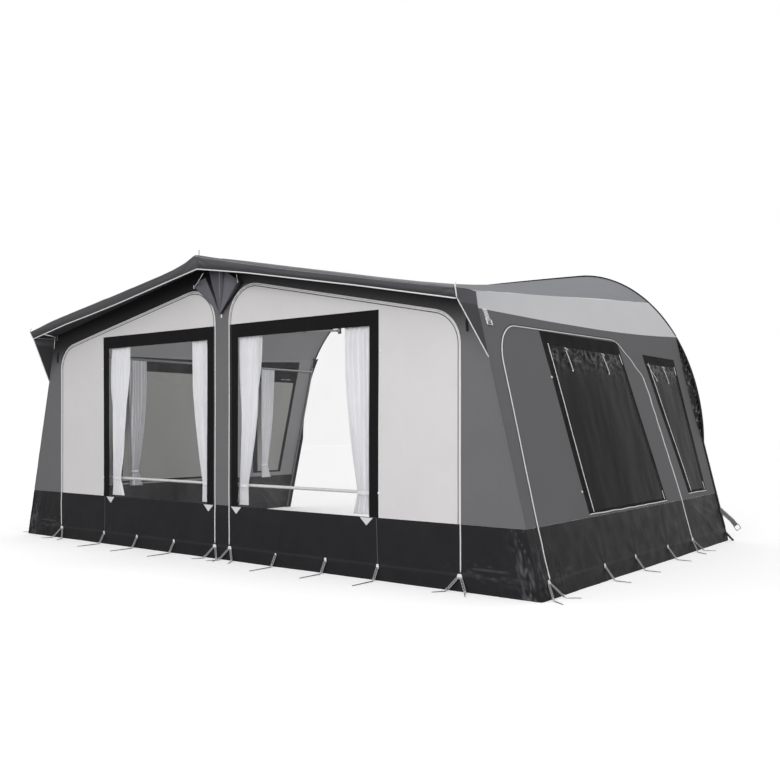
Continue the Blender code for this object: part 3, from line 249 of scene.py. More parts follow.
def add_node(tree, kind, inputs=None, **settings):
    """A new node in a tree; inputs gives sockets their values or the outputs that they take."""
    made = tree.nodes.new("ShaderNode" + kind)
    for key, value in settings.items():
        setattr(made, key, value)
    for socket, value in (inputs or {}).items():
        if isinstance(value, bpy.types.NodeSocket):
            tree.links.new(value, made.inputs[socket])
        else:
            made.inputs[socket].default_value = value
    return made


class Look:
    """A material, with short calls for the textures used here."""

    def __init__(self, name, colour, roughness, **sockets):
        self.made = bpy.data.materials.new(name)
        self.made.use_nodes = True
        self.tree = self.made.node_tree
        self.inputs = self.tree.nodes["Principled BSDF"].inputs
        self.colour = srgb(colour)
        self.made.diffuse_color = (*self.colour, 1)
        sockets.update(Base_Color=(*self.colour, 1), Roughness=roughness)
        for socket, value in sockets.items():
            self.inputs[socket.replace("_", " ")].default_value = value
        self.place = add_node(self.tree, "TexCoord").outputs["Object"]

    def noise(self, scale, detail=3, stretch=(1, 1, 1), rough=0.5):
        mapping = add_node(self.tree, "Mapping", {"Vector": self.place, "Scale": stretch})
        return add_node(self.tree, "TexNoise", {
            "Vector": mapping.outputs["Vector"], "Scale": scale, "Detail": detail, "Roughness": rough,
        }).outputs["Fac"]

    def wave(self, direction, period, distortion=0.0):
        return add_node(self.tree, "TexWave", {
            "Vector": self.place, "Scale": math.pi / 10 / period, "Distortion": distortion, "Detail": 1,
        }, bands_direction=direction).outputs["Fac"]

    def weave(self, period):
        return self.sum((self.wave("X", period), 0.34), (self.wave("Y", period), 0.33),
                        (self.wave("Z", period), 0.33))

    def sum(self, *terms):
        """The weighted sum of (texture, weight) pairs."""
        total = 0
        for texture, weight in terms:
            total = add_node(self.tree, "Math", {0: texture, 1: weight, 2: total},
                             operation="MULTIPLY_ADD").outputs[0]
        return total

    def tint(self, fac, dark, light, shaded=None):
        """Base colour that runs between two shares of the material's colour as fac runs up.

        Where a mesh has the attribute shade, the colour goes over to shaded; this paints shade and
        highlights, and the header's dark cloth. Where it has the attribute lining, it goes to the pale
        inner side of awning cloth.
        """
        ramp = add_node(self.tree, "ValToRGB", {"Fac": fac})
        for stop, position, share in zip(ramp.color_ramp.elements, (0.3, 0.7), (dark, light)):
            stop.position = position
            stop.color = (*[min(channel * share, 1) for channel in self.colour], 1)
        colour = ramp.outputs["Color"]
        for attribute, other in (("shade", shaded), ("lining", LINING)) if shaded else ():
            share = add_node(self.tree, "Attribute", attribute_name=attribute)
            colour = add_node(self.tree, "Mix", {
                "Factor": share.outputs["Fac"], "A": colour, "B": (*srgb(other), 1),
            }, data_type="RGBA").outputs["Result"]
        self.tree.links.new(colour, self.inputs["Base Color"])

    def roughen(self, fac, low, high):
        """Roughness that runs from low to high as fac runs up."""
        made = add_node(self.tree, "MapRange", {
            "Value": fac, "From Min": 0.3, "From Max": 0.7, "To Min": low, "To Max": high})
        self.tree.links.new(made.outputs["Result"], self.inputs["Roughness"])

    def bump(self, *layers):
        """Bumps stacked on each other, each (height, distance in metres, strength)."""
        below = {}
        for height, distance, strength in layers:
            made = add_node(self.tree, "Bump", {
                "Height": height, "Distance": distance, "Strength": strength, **below})
            below = {"Normal": made.outputs["Normal"]}
        self.tree.links.new(below["Normal"], self.inputs["Normal"])


# By default shaded is the header's dark cloth, which also serves for painted shade on the header, valance
# and hood ends.
def cloth_material(name, colour, roughness=0.85, sheen=0.03, period=0.0012, contrast=0.05,
                   shaded="232325", specular=0.2):
    """Woven awning cloth: a plain weave, soft clouds of colour and small creases."""
    look = Look(name, colour, roughness, Sheen_Weight=sheen, Sheen_Roughness=0.5,
                Specular_IOR_Level=specular)
    threads, clouds, specks = look.weave(period), look.noise(3.5, 4), look.noise(260, 2)
    look.tint(look.sum((clouds, 0.6), (specks, 0.25), (threads, 0.15)), 1 - contrast, 1 + contrast,
              shaded)
    look.roughen(clouds, roughness - 0.05, min(roughness + 0.05, 1))
    look.bump((look.noise(14, 4), 0.0012, 0.35), (specks, 0.0002, 0.3), (threads, 0.00015, 0.5))
    return look.made


def sheet_material(name, colour, roughness, contrast=0.08, crease=0.0015, specular=0.3, shaded=None):
    """Smooth plastic-coated sheet with a soft gloss, scuffs and sharp little folds."""
    look = Look(name, colour, roughness, Specular_IOR_Level=specular)
    folds = add_node(look.tree, "TexVoronoi", {"Vector": look.place, "Scale": 6, "Smoothness": 0.35},
                     feature="SMOOTH_F1")
    look.tint(look.noise(5, 5, rough=0.6), 1 - contrast, 1 + contrast, shaded)
    look.roughen(look.noise(9, 4), roughness - 0.08, roughness + 0.08)
    look.bump((folds.outputs["Distance"], crease * 2, 0.4), (look.noise(22, 4), crease, 0.4),
              (look.noise(420, 2), 0.0001, 0.3))
    return look.made


def foil_material(name, colour, alpha, roughness, specular, inside=None):
    """Window film, with gloss that ripples along it and stretched clouds of paler colour that paint
    reflection streaks; inside, where given, is the colour of its other face, painted paler for the light
    from behind.
    """
    look = Look(name, colour, roughness, Alpha=alpha, Specular_IOR_Level=specular)
    look.tint(look.noise(2.2, 5, stretch=(1, 1, 0.5), rough=0.6), 0.6, 2.2, inside)
    look.roughen(look.noise(6, 3), roughness, roughness + 0.08)
    look.bump((look.noise(5, 3, stretch=(1, 1, 0.35)), 0.006, 0.35), (look.noise(30, 3), 0.0008, 0.3))
    return look.made


def steel_material(name, colour):
    """Zinc-plated tube: a fine drawn grain along it and dull patches."""
    look = Look(name, colour, 0.34, Metallic=0.9)
    clouds, grain = look.noise(18, 4), look.noise(90, 3, stretch=(1, 0.12, 1))
    look.tint(look.sum((clouds, 0.6), (grain, 0.4)), 0.82, 1.08)
    look.roughen(clouds, 0.26, 0.46)
    look.bump((grain, 0.0002, 0.35))
    return look.made


def moulded_material(name, colour, roughness=0.45):
    look = Look(name, colour, roughness)
    clouds = look.noise(25, 3)
    look.tint(clouds, 0.95, 1.03)
    look.roughen(clouds, roughness - 0.06, roughness + 0.08)
    look.bump((look.noise(700, 2), 0.0001, 0.4))
    return look.made


def cord_material(name, colour):
    """Twisted or braided cord and piping: short slanting ridges."""
    look = Look(name, colour, 0.65, Sheen_Weight=0.2)
    twist = look.wave("DIAGONAL", 0.003, 1.5)
    look.tint(look.sum((twist, 0.5), (look.noise(60, 3), 0.5)), 0.9, 1.05)
    look.bump((twist, 0.0004, 0.5))
    return look.made


def curtain_material(name, colour):
    """Thin curtain cloth that lets some light through."""
    look = Look(name, colour, 0.9, Sheen_Weight=0.3, Subsurface_Weight=0.15,
                Subsurface_Radius=(0.004, 0.004, 0.004))
    threads = look.weave(0.0008)
    look.tint(look.sum((look.noise(12, 3), 0.7), (threads, 0.3)), 0.96, 1.02)
    look.bump((look.noise(35, 3, stretch=(1, 1, 0.2)), 0.001, 0.3), (threads, 0.0001, 0.4))
    return look.made


LOOKS = {
    "light_cloth": cloth_material("light_cloth_look", "d2d0d1", contrast=0.03),
    "grey_cloth": cloth_material("grey_cloth_look", "6a696b"),
    "hood_cloth": cloth_material("hood_cloth_look", "58585b", 0.7),
    "roof_cloth": cloth_material("roof_cloth_look", "97989c", 0.9, sheen=0, contrast=0.03, specular=0),
    "band_cloth": cloth_material("band_cloth_look", "d2d2d5", 0.8, contrast=0.03, specular=0.05),
    # shaded is the pale colour of painted highlights on the skirts' folds and hem weld.
    "skirt_pvc": sheet_material("skirt_pvc_look", "272729", 0.42, specular=0.08, shaded="737375"),
    "window_frame_pvc": sheet_material("window_frame_pvc_look", "1c1c1d", 0.55, crease=0.0005,
                                       specular=0.03),
    "clear_foil": foil_material("clear_foil_look", "7c7c7d", 0.07, 0.08, 0.2),
    # A real dark film, made nearly opaque so that its dark outer face also paints the shade of the inside
    # seen through it; its inner face gets a paler colour painted for the light from behind.
    "tinted_foil": foil_material("tinted_foil_look", "0f0f10", 0.97, 0.12, 0.035, inside="aeaeac"),
    "white_cord": cord_material("white_cord_look", "e2e2e1"),
    "curtain_white": curtain_material("curtain_look", "f3f3f6"),
    "black_rubber": sheet_material("black_rubber_look", "1b1b1c", 0.62, specular=0.2),
    "zinc_steel": steel_material("zinc_steel_look", "b9babd"),
    "white_plastic": moulded_material("white_plastic_look", "e4e4e4"),
    # shaded is the painted shade in the gaps between pleats.
    "pleat_grey": cloth_material("pleat_grey_look", "6d6c72", contrast=0.06, shaded="1d1d1f"),
    "strap_grey": moulded_material("strap_grey_look", "8e8e90", 0.5),
    "zip_tape": cloth_material("zip_tape_look", "4a4a4c", period=0.0016),
    "black_web": cloth_material("black_web_look", "222223", period=0.002, contrast=0.12),
    # shaded is the colour of painted highlights on the crumples.
    "crumpled_black": sheet_material("crumpled_black_look", "232223", 0.35, contrast=0.4, crease=0.006,
                                     specular=0.2, shaded="8a8a88"),
}


# Meshes and pieces

def mixed(a, b, share):
    return a + (b - a) * share


def eased(share):
    """Smooth step from 0 to 1."""
    share = min(max(share, 0), 1)
    return share * share * (3 - 2 * share)


def cloud(a, b, c):
    return noise.noise(Vector((a, b, c)))


def ridge(a, b, c):
    """Clouds folded into sharp crests, 1 along a crest."""
    return 1 - 2 * abs(cloud(a, b, c))


def streak(height, floor):
    """A narrow streak along the part of a crest above floor, 0 to 1."""
    return max((height - floor) / (1 - floor), 0) ** 2


def bell(value, middle, width):
    """1 at middle, falling off to both sides over width."""
    return math.exp(-((value - middle) / width) ** 2)


def spread(count):
    """Even shares from 0 to 1."""
    return [step / count for step in range(count + 1)]


def mirrored(count):
    """Even shares from -1 to 1."""
    return [step / count for step in range(-count, count + 1)]


def circle(count):
    """Cosine and sine of even turns once round."""
    return [(math.cos(math.tau * step / count), math.sin(math.tau * step / count)) for step in range(count)]


def new_object(name, data):
    made = bpy.data.objects.new(name, data)
    bpy.context.scene.collection.objects.link(made)
    return made


def set_shade(mesh, values):
    """Sets how far the colour of each point goes over to the material's other one, which paints shade and
    highlights, and the header's dark cloth.
    """
    layer = mesh.attributes.new("shade", "FLOAT", "POINT")
    for item, value in zip(layer.data, values):
        item.value = min(max(value, 0), 1)


def piece(name, mesh, look, body="tent", slot=None, nodes=(), smooth=40, shade=None):
    """A named object of that mesh, which rides on a body and stands for CAD nodes."""
    mesh.name = name
    mesh.materials.clear()
    mesh.materials.append(LOOKS[look])
    mesh.shade_smooth()
    mesh.set_sharp_from_angle(angle=math.radians(smooth))
    if shade:
        set_shade(mesh, (shade(vertex.co) for vertex in mesh.vertices))
    made = new_object(name, mesh)
    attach(made, body)
    slot or look
    if nodes:
        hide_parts(*nodes)
    return made


def mesh_from(work, name="mesh"):
    mesh = bpy.data.meshes.new(name)
    work.to_mesh(mesh)
    work.free()
    return mesh


def evaluated(data, kind=None, **settings):
    """The mesh that a mesh or curve comes to, after one modifier if a kind is given."""
    made = new_object("shape", data)
    if kind:
        modifier = made.modifiers.new("shape", kind)
        for key, value in settings.items():
            setattr(modifier, key, value)
    graph = bpy.context.evaluated_depsgraph_get()
    shaped = bpy.data.meshes.new_from_object(made.evaluated_get(graph))
    bpy.data.objects.remove(made, do_unlink=True)
    return shaped


def area_of(mesh):
    return sum(face.area for face in mesh.polygons)


def thickened(mesh, thickness, outward):
    """A sheet given its thickness away from the side that outward points to."""
    facing = sum(face.normal.dot(outward) * face.area for face in mesh.polygons)
    return evaluated(mesh, "SOLIDIFY", thickness=thickness, offset=-1 if facing > 0 else 1,
                     use_even_offset=False)


def mark_inner(mesh, outward):
    """Marks the faces that look away from outward as lining."""
    layer = mesh.attributes.new("lining", "FLOAT", "FACE")
    for item, face in zip(layer.data, mesh.polygons):
        item.value = 1 if face.normal.dot(outward) < -0.2 else 0
    return mesh


def joined(meshes):
    work = bmesh.new()
    for mesh in meshes:
        work.from_mesh(mesh)
        bpy.data.meshes.remove(mesh)
    return mesh_from(work, "joined")


def capped(mesh):
    work = bmesh.new()
    work.from_mesh(mesh)
    bmesh.ops.holes_fill(work, edges=[edge for edge in work.edges if edge.is_boundary])
    bmesh.ops.recalc_face_normals(work, faces=work.faces)
    return mesh_from(work, "capped")


def tube(points, radius, resolution=3, closed=False):
    """A round cord along points, with rounded ends."""
    curve = bpy.data.curves.new("tube", "CURVE")
    curve.dimensions = "3D"
    curve.bevel_depth = radius
    curve.bevel_resolution = resolution
    curve.use_fill_caps = True
    spline = curve.splines.new("POLY")
    spline.points.add(len(points) - 1)
    spline.use_cyclic_u = closed
    for index, (point, place) in enumerate(zip(spline.points, points)):
        point.co = (*place, 1)
        at_end = not closed and index in (0, len(points) - 1)
        point.radius = 0.7 if at_end else 1
    work = bmesh.new()
    work.from_mesh(evaluated(curve))
    bmesh.ops.remove_doubles(work, verts=work.verts, dist=radius / 50)
    bmesh.ops.recalc_face_normals(work, faces=work.faces)
    return mesh_from(work, "tube")


def lofted(rows, closed=False):
    """An open sheet through rows of points; closed joins each row's end to its start."""
    work = bmesh.new()
    placed = [[work.verts.new(point) for point in row] for row in rows]
    for low, high in zip(placed, placed[1:]):
        pairs = list(zip(low, low[1:], high[1:], high))
        if closed:
            pairs.append((low[-1], low[0], high[0], high[-1]))
        for corners in pairs:
            work.faces.new(corners)
    return mesh_from(work, "loft")


def surface(rows, columns, at):
    """A sheet through the places at(share up the rows, share along the columns)."""
    return lofted([[at(row, column) for column in spread(columns)] for row in spread(rows)])


def resampled(points, spacing):
    """Points along a run, evenly spaced, its own points kept."""
    made = [Vector(points[0])]
    for a, b in zip(points, points[1:]):
        a, b = Vector(a), Vector(b)
        steps = max(1, math.ceil((b - a).length / spacing))
        made += [a.lerp(b, step / steps) for step in range(1, steps + 1)]
    return made


def ribbon(path, place, width, height):
    """A flat tape along a path on a wall, standing height proud of the cloth, with turned-down edges."""
    points = resampled(path, 0.02)
    half = width / 2
    edges = ((-half, 0), (-half * 0.8, height), (half * 0.8, height), (half, 0))
    return lofted([[place(*point, out) for point in shifted(points, across)] for across, out in edges])


def sheet_piece(name, mesh, look, outward, flat, held="stretched", area=None, thickness=CLOTH,
                lined=False, **settings):
    """A piece of sheet; flat, its size laid flat or the width of the strip that it is cut from, is not
    used.
    """
    if not isinstance(flat, tuple):
        flat = (area_of(mesh) / flat, flat)
    cloth = thickened(mesh, thickness, outward)
    made = piece(name, mark_inner(cloth, outward) if lined else cloth, look, **settings)
    return made


def cord(name, points, radius, look="white_cord", slot=None, resolution=3, **settings):
    piece(name, tube(points, radius, resolution), look, slot=slot, **settings)


# Outlines of the walls

def rounded(points, rounds):
    """An open run of points with its inner corners rounded by arcs of the given radii."""
    path = [Vector(points[0])]
    for before, corner, after, radius in zip(points, points[1:], points[2:], rounds):
        corner = Vector(corner)
        back = (Vector(before) - corner).normalized()
        on = (Vector(after) - corner).normalized()
        half = back.angle(on) / 2
        middle = corner + (back + on).normalized() * (radius / math.sin(half))
        start = corner + back * (radius / math.tan(half)) - middle
        end = corner + on * (radius / math.tan(half)) - middle
        turn = start.angle_signed(end)
        for step in range(ARC_STEPS + 1):
            swung = start.copy()
            swung.rotate(Matrix.Rotation(-turn * step / ARC_STEPS, 2))
            path.append(middle + swung)
    path.append(Vector(points[-1]))
    return path


def shifted(path, distance):
    """A run of points moved sideways, to the left of its direction when distance is positive."""
    moved = []
    for before, point, after in zip(path[:1] + path[:-1], path, path[1:] + path[-1:]):
        sides = []
        for a, b in ((before, point), (point, after)):
            if (b - a).length > 0:
                along = (b - a).normalized()
                sides.append(Vector((-along.y, along.x)))
        middle = sum(sides, Vector((0, 0))).normalized()
        moved.append(point + middle * (distance / middle.dot(sides[0])))
    return moved


def wall_x(height):
    return FOOT_HALF_WIDTH - WALL_LEAN_SHARE * height


def eave_height(y):
    share = min(max(y / TENT_DEPTH, 0), 1)
    return EAVE_FRONT_HEIGHT + (EAVE_REAR_HEIGHT - EAVE_FRONT_HEIGHT) * share ** EAVE_CURVE


def gable_height(x):
    return APEX_HEIGHT - GABLE_SLOPE * abs(x)


RAIL_REACH = wall_x(RAIL_FOOT_HEIGHT) - RAIL_FLAT_X


def rail_curve(share):
    return (1 - share ** RAIL_CURVE) ** (1 / RAIL_CURVE)


def rail_height(x):
    top = RAIL_HEIGHT - RAIL_CROWN * min(x / RAIL_FLAT_X, 1) ** 2
    if x <= RAIL_FLAT_X:
        return top
    return RAIL_FOOT_HEIGHT + (top - RAIL_FOOT_HEIGHT) * rail_curve((x - RAIL_FLAT_X) / RAIL_REACH)


def rail_x(height):
    if height <= RAIL_FOOT_HEIGHT:
        return wall_x(height)
    share = (height - RAIL_FOOT_HEIGHT) / (RAIL_HEIGHT - RAIL_CROWN - RAIL_FOOT_HEIGHT)
    return RAIL_FLAT_X + RAIL_REACH * rail_curve(share)


def panel_path(foot):
    """Edge of the right front panel, from its outer foot over the top to its inner foot."""
    tops = [(x, gable_height(x) - HEADER_DEPTH) for x in (ZIP_OUTER_X, ZIP_INNER_X)]
    return rounded([(ZIP_OUTER_X, foot), *tops, (ZIP_INNER_X, foot)], PANEL_ROUNDS)


def side_zip_path():
    """The zip of a side panel from its front foot, slack at the panel's shoulder."""
    corners = [(SIDE_ZIP_Y + 0.01, 0.11), (SIDE_ZIP_Y + 0.03, SIDE_PANEL_TOP_FRONT - 0.01),
               (SIDE_PANEL_TOP_Y + 0.01, SIDE_PANEL_TOP_REAR - 0.012), SIDE_PANEL_SHOULDER,
               (SIDE_PANEL_FOOT_Y, SKIRT_TOP), (SIDE_ZIP_FOOT_Y, 0.095)]
    waved = []
    for point in resampled(rounded(corners, SIDE_ZIP_ROUNDS), 0.02):
        slack = 0.009 * bell(point.x, 2.25, 0.16) * math.sin(point.y * 42)
        waved.append(point + Vector((slack, slack / 2)))
    return waved


def drawn_in(outline, insets):
    """An anticlockwise outline with each side drawn in by its own inset."""
    corners = [Vector(corner) for corner in outline]
    sides = []
    for near, far, inset in zip(corners, corners[1:] + corners[:1], insets):
        along = (far - near).normalized()
        inward = Vector((-along.y, along.x))
        sides.append((near + inward * inset, along, inward))
    return [start + along * ((goal - start).dot(inward) / along.dot(inward))
            for (start, along, _), (goal, _, inward) in zip(sides[-1:] + sides[:-1], sides)]


def inset_of(corners, point):
    """How far a point lies inside the nearest edge of an outline."""
    nearest = 1.0
    for start, end in zip(corners, corners[1:] + corners[:1]):
        along = (end - start).normalized()
        offset = point - start
        nearest = min(nearest, abs(offset.x * along.y - offset.y * along.x))
    return nearest


# Creases of the walls: how far the cloth stands out from its flat place

def ripples(*terms):
    """Sum of (amplitude, across, along, seed) clouds at a place given as two coordinates."""
    def at(a, b):
        return sum(size * cloud(a * across, b * along, seed) for size, across, along, seed in terms)
    return at


FRONT_RIPPLES = ripples((0.006, 1.3, 0.9, 3.1), (0.0025, 4.5, 1.6, 7.7), (0.001, 11, 5, 1.3))
SIDE_RIPPLES = ripples((0.006, 1.1, 1.0, 5.4), (0.003, 4.0, 1.8, 2.2), (0.001, 12, 5, 8.8))
SKIRT_RIPPLES = ripples((0.005, 3.0, 1.0, 9.1), (0.002, 9, 2.5, 4.4), (0.0006, 26, 8, 6.6))
ROOF_RIPPLES = ripples((0.005, 1.2, 0.8, 2.7), (0.003, 5, 1.2, 6.1), (0.001, 14, 6, 3.9))
HOOD_RIPPLES = ripples((0.003, 2.2, 2.0, 1.9), (0.002, 9, 3.0, 4.7))


def pulled(along, height, hooks):
    """Folds that fan out from the hooks along the hem, and the welded edge of the hem."""
    total = 0.0016 * bell(height, HEM_WELD_HEIGHT, 0.004)
    for hook_at in hooks:
        a, b = along - hook_at, height - STRAP_HEIGHT[0]
        reach = math.hypot(a, b)
        if reach < 0.35:
            near = math.exp(-reach / 0.11) * eased(reach / 0.03)
            total += 0.0018 * near * math.sin(7 * math.atan2(b, a) + 9 * hook_at)
    return total


def crumpled(from_corner, height, seed):
    """Sharp folds of the skirt close to a corner."""
    near = bell(from_corner, 0.07, 0.06) + 0.5 * bell(from_corner, 0.24, 0.1)
    tall = ridge(from_corner * 30, height * 6, seed)
    level = ridge(from_corner * 5, height * 26, seed + 7)
    return near * (0.008 * tall + 0.006 * level * eased((0.2 - height) / 0.1) - 0.006)


def painted_crumple_highlight(from_corner, height, seed):
    """Painted highlights where the sharp folds near a corner catch the light, 0 to 1."""
    near = bell(from_corner, 0.06, 0.06) * (0.35 + 0.65 * eased((0.38 - height) / 0.2))
    low = bell(from_corner, 0.3, 0.24) * bell(height, 0.13, 0.05)
    tall = ridge(from_corner * 26, height * 7, seed)
    level = ridge(from_corner * 5, height * 34, seed + 7)
    return 0.65 * near * streak(tall, 0.62) + 0.3 * low * streak(level, 0.7)


def wall_crease(edge, height, wall, skirt, folds, corner):
    """Crease at a height; wall and skirt are their ripples, folds and corner are called for the skirt."""
    on_skirt = eased((SKIRT_TOP - height) / 0.12)
    if not on_skirt:
        return edge * wall
    return edge * (wall + on_skirt * (skirt + folds())) + on_skirt * corner()


def front_crease(x, z):
    inset = wall_x(z) - abs(x)
    edge = min(eased(inset / 0.15), eased((gable_height(x) - z) / 0.2), eased(abs(z - SEAM) / 0.07))
    return wall_crease(edge, z, FRONT_RIPPLES(x, z), SKIRT_RIPPLES(x, z),
                       lambda: pulled(abs(x), z, FRONT_HOOKS),
                       lambda: eased(inset / 0.02) * eased((SEAM - z) / 0.07) * crumpled(inset, z, x))


def side_crease(y, z):
    hinge = mixed(*HINGE_HEIGHTS, eased((y - 2.2) / 0.2))
    edge = min(eased(y / 0.15), eased((WALL_REAR_Y - y) / 0.15), eased((eave_height(y) - z) / 0.15),
               eased(abs(z - hinge) / 0.035))
    return wall_crease(edge, z, SIDE_RIPPLES(y, z), SKIRT_RIPPLES(y + 20, z),
                       lambda: pulled(y, z, SIDE_HOOKS), lambda: eased(y / 0.02) * crumpled(y, z, 40))


def on_front(sign=1):
    """Places (across, up, out) on the creased front wall; sign mirrors it."""
    def place(a, b, out=0.0):
        return Vector((sign * a, FRONT_Y - front_crease(sign * a, b) - out, b))
    return place


def on_side(sign):
    """Places (back, up, out) on a creased side wall."""
    def place(a, b, out=0.0):
        return Vector((sign * (wall_x(b) + side_crease(a, b) + out), FRONT_Y + a, b))
    return place


def side_out(sign):
    return Vector((sign, 0, 0))


def seated(point, sign):
    """A place given as (across, behind the front wall, up), on the side that sign names."""
    return Vector((sign * point.x, FRONT_Y + point.y, point.z))


def gridded(work, spacing, axes):
    """Cuts a flat face into squares along two of the world's axes."""
    for axis in axes:
        values = [vertex.co[axis] for vertex in work.verts]
        normal = Vector((0, 0, 0))
        normal[axis] = 1
        for step in range(math.floor(min(values) / spacing) + 1, math.ceil(max(values) / spacing)):
            geometry = work.verts[:] + work.edges[:] + work.faces[:]
            bmesh.ops.bisect_plane(work, geom=geometry, dist=GAP / 3, plane_co=normal * step * spacing,
                                   plane_no=normal)


def outer_face(node, outward, spacing, axes):
    """The outer side of a CAD panel, cut into small squares, still flat."""
    work = bmesh.new()
    work.from_mesh(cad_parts[node].data)
    bmesh.ops.remove_doubles(work, verts=work.verts, dist=GAP / 6)
    work.normal_update()
    away = [face for face in work.faces if face.normal.dot(outward) < 0.9]
    bmesh.ops.delete(work, geom=away, context="FACES")
    bmesh.ops.dissolve_limit(work, angle_limit=math.radians(0.5), verts=work.verts, edges=work.edges)
    gridded(work, spacing, axes)
    return mesh_from(work, node)


def wall_sheet(name, look, node, outward, body="tent", thickness=CLOTH, lift=0.0, strip=None,
               shade=None, crumple=None, spacing=WALL_GRID):
    """Cloth or film of a wall in place of its plain panel."""
    axes, start, crease = ((0, 2), 0, front_crease) if outward.y else ((1, 2), FRONT_Y, side_crease)
    mesh = outer_face(node, outward, spacing, axes)
    area = area_of(mesh)
    flat = (area / strip, strip) if strip else tuple(
        max(values) - min(values) for values in
        ([vertex.co[axis] for vertex in mesh.vertices] for axis in axes))
    for vertex in mesh.vertices:
        a, b = vertex.co[axes[0]] - start, vertex.co[axes[1]]
        vertex.co += outward * crease(a, b)
        vertex.co += outward * (lift + (crumple(a, b) if crumple else 0))
    return sheet_piece(name, mesh, look, outward, flat, area=min(area, flat[0] * flat[1]),
                       thickness=thickness, lined=look.endswith("cloth"), body=body, nodes=[node],
                       shade=shade)


# Front wall

def dark_header_and_painted_shade(place):
    """How dark the header is under the hood: its dark cloth, with painted shade from the hood that is
    darker on the left, fades down the corner strips, and is a little paler towards the right end.
    """
    x = abs(place.x)
    line = min(gable_height(min(x, 1.95)) - HEADER_DEPTH, GUSSET_FOOT_HEIGHT + 0.8 * x)
    soft = mixed(0.025, 0.14, eased((x - 0.2) / 0.5)) + 0.12 * eased((x - 1.85) / 0.3)
    dark = mixed(0.95, 0.72, eased(place.x / 0.3 + 0.5)) * eased((place.z - line + soft * 0.9) / soft)
    if place.x > 0.3:
        dark *= mixed(1, 0.93, eased((line + 0.06 - place.z) / 0.06) * eased((x - 0.5) / 1.2))
    return dark


def stud(place, along, up, radius=0.008):
    """A turned fastener with a domed head on a wall."""
    profile = ((1, 0), (1, 0.002), (0.8, 0.0038), (0.45, 0.005), (0.4, 0.0044), (0.05, 0.0048))
    return capped(lofted([[place(along + radius * share * c, up + radius * share * s, out)
                           for c, s in circle(20)] for share, out in profile], closed=True))


def band(place, points, width, thickness=0.0018, wave=0.0):
    """A flat strap through points (across, up, out) on a wall."""
    run = resampled(points, 0.012)
    return lofted([[place(point.x + half * width / 2 + wave * math.sin(index * 0.9), point.y,
                          point.z + (thickness if abs(half) < 1 else 0))
                    for index, point in enumerate(run)] for half in (-1, -0.7, 0.7, 1)])


def corner_tab(place, x):
    """A pale triangle of cloth that hangs from a panel's foot."""
    return surface(8, 4, lambda down, across: place(
        x - CORNER_TAB_HALF + (CORNER_TAB_HALF * (1 - down) + 0.002) * (2 * across - 1),
        SEAM - 0.004 - CORNER_TAB_DROP * down, 0.0035 - 0.0015 * down))


def build_front():
    wall_sheet("front_surround_cloth", "grey_cloth", "front_surround", FRONT_OUT, strip=SURROUND_STRIP,
               shade=dark_header_and_painted_shade)
    for side, sign in SIDES:
        place, panel = on_front(sign), "front_panel_" + side
        wall_sheet(panel + "_cloth", "light_cloth", panel, FRONT_OUT, panel)
        wall_sheet(f"front_window_{side}_border", "window_frame_pvc", "front_window_frame_" + side,
                   FRONT_OUT, panel, PVC, lift=0.0006, strip=FRONT_FRAME_STRIP)
        wall_sheet(f"front_window_{side}_film", "clear_foil", "front_window_" + side, FRONT_OUT, panel,
                   PVC / 2, lift=-0.001)
        zip_line = resampled(shifted(panel_path(ZIP_FOOT_HEIGHT), -0.0055), 0.02)
        cord(f"front_zip_{side}_piping", [place(*p, 0.0016) for p in zip_line], CORD_RADIUS)
        tape = ribbon(shifted(panel_path(SEAM), 0.012), place, 0.006, 0.0008)
        piece(f"front_zip_{side}_tape", thickened(tape, GAP, FRONT_OUT), "zip_tape", panel,
              "window_frame_pvc")
        tabs = [corner_tab(place, x) for x in CORNER_TAB_X]
        piece("front_corner_tabs_" + side, thickened(joined(tabs), 0.0015, FRONT_OUT), "band_cloth")
        studs = [stud(place, x, z) for x, z in FRONT_STUDS]
        piece("front_studs_" + side, joined(studs), "white_plastic", panel)
        seam = band(place, SKIRT_SEAM, 0.007, 0.001)
        piece("front_skirt_seam_" + side, thickened(seam, GAP, FRONT_OUT), "zip_tape", slot="skirt_pvc")
        for name, look, low, high, shade in (
                ("wall", "grey_cloth", SKIRT_TOP, EAVE_FRONT_HEIGHT - 0.005, dark_header_and_painted_shade),
                ("skirt", "skirt_pvc", 0.004, SKIRT_TOP, None)):
            welt = [Vector((sign * (wall_x(z) - 0.003) + 0.0015 * cloud(z * 9, sign, 2),
                            FRONT_Y + 0.003 + 0.0015 * cloud(z * 9, sign, 5), z))
                    for z in (mixed(low, high, share) for share in spread(60))]
            cord(f"corner_welt_{name}_{side}", welt, WELT_RADIUS, look, resolution=4, shade=shade)
        strap = band(place, CORNER_STRAP, 0.016)
        piece("front_corner_strap_" + side, thickened(strap, 0.0015, FRONT_OUT), "black_web",
              slot="black_rubber")


# Side walls

def build_sides():
    for side, sign in SIDES:
        place, outward = on_side(sign), side_out(sign)
        wall_sheet(f"side_surround_{side}_cloth", "grey_cloth", "side_surround_" + side, outward,
                   strip=SURROUND_STRIP)
        wall_sheet(f"side_panel_{side}_cloth", "grey_cloth", "side_panel_" + side, outward)
        for name, outline in WINDOW_OUTLINES.items():
            build_side_window(side, sign, name, outline)
        zip_line = side_zip_path()
        cord(f"side_zip_{side}_piping", [place(*p, 0.002) for p in zip_line], CORD_RADIUS)
        cord(f"side_zip_{side}_tape", [place(*p, 0.0006) for p in shifted(zip_line, 0.0095)], 0.0022,
             "zip_tape", "grey_cloth", 2)
        studs = [stud(place, y, z) for y, z in SIDE_STUDS]
        piece("side_studs_" + side, joined(studs), "white_plastic")
        build_eave_tab(side, place)
        build_rear_straps(side, sign, place)


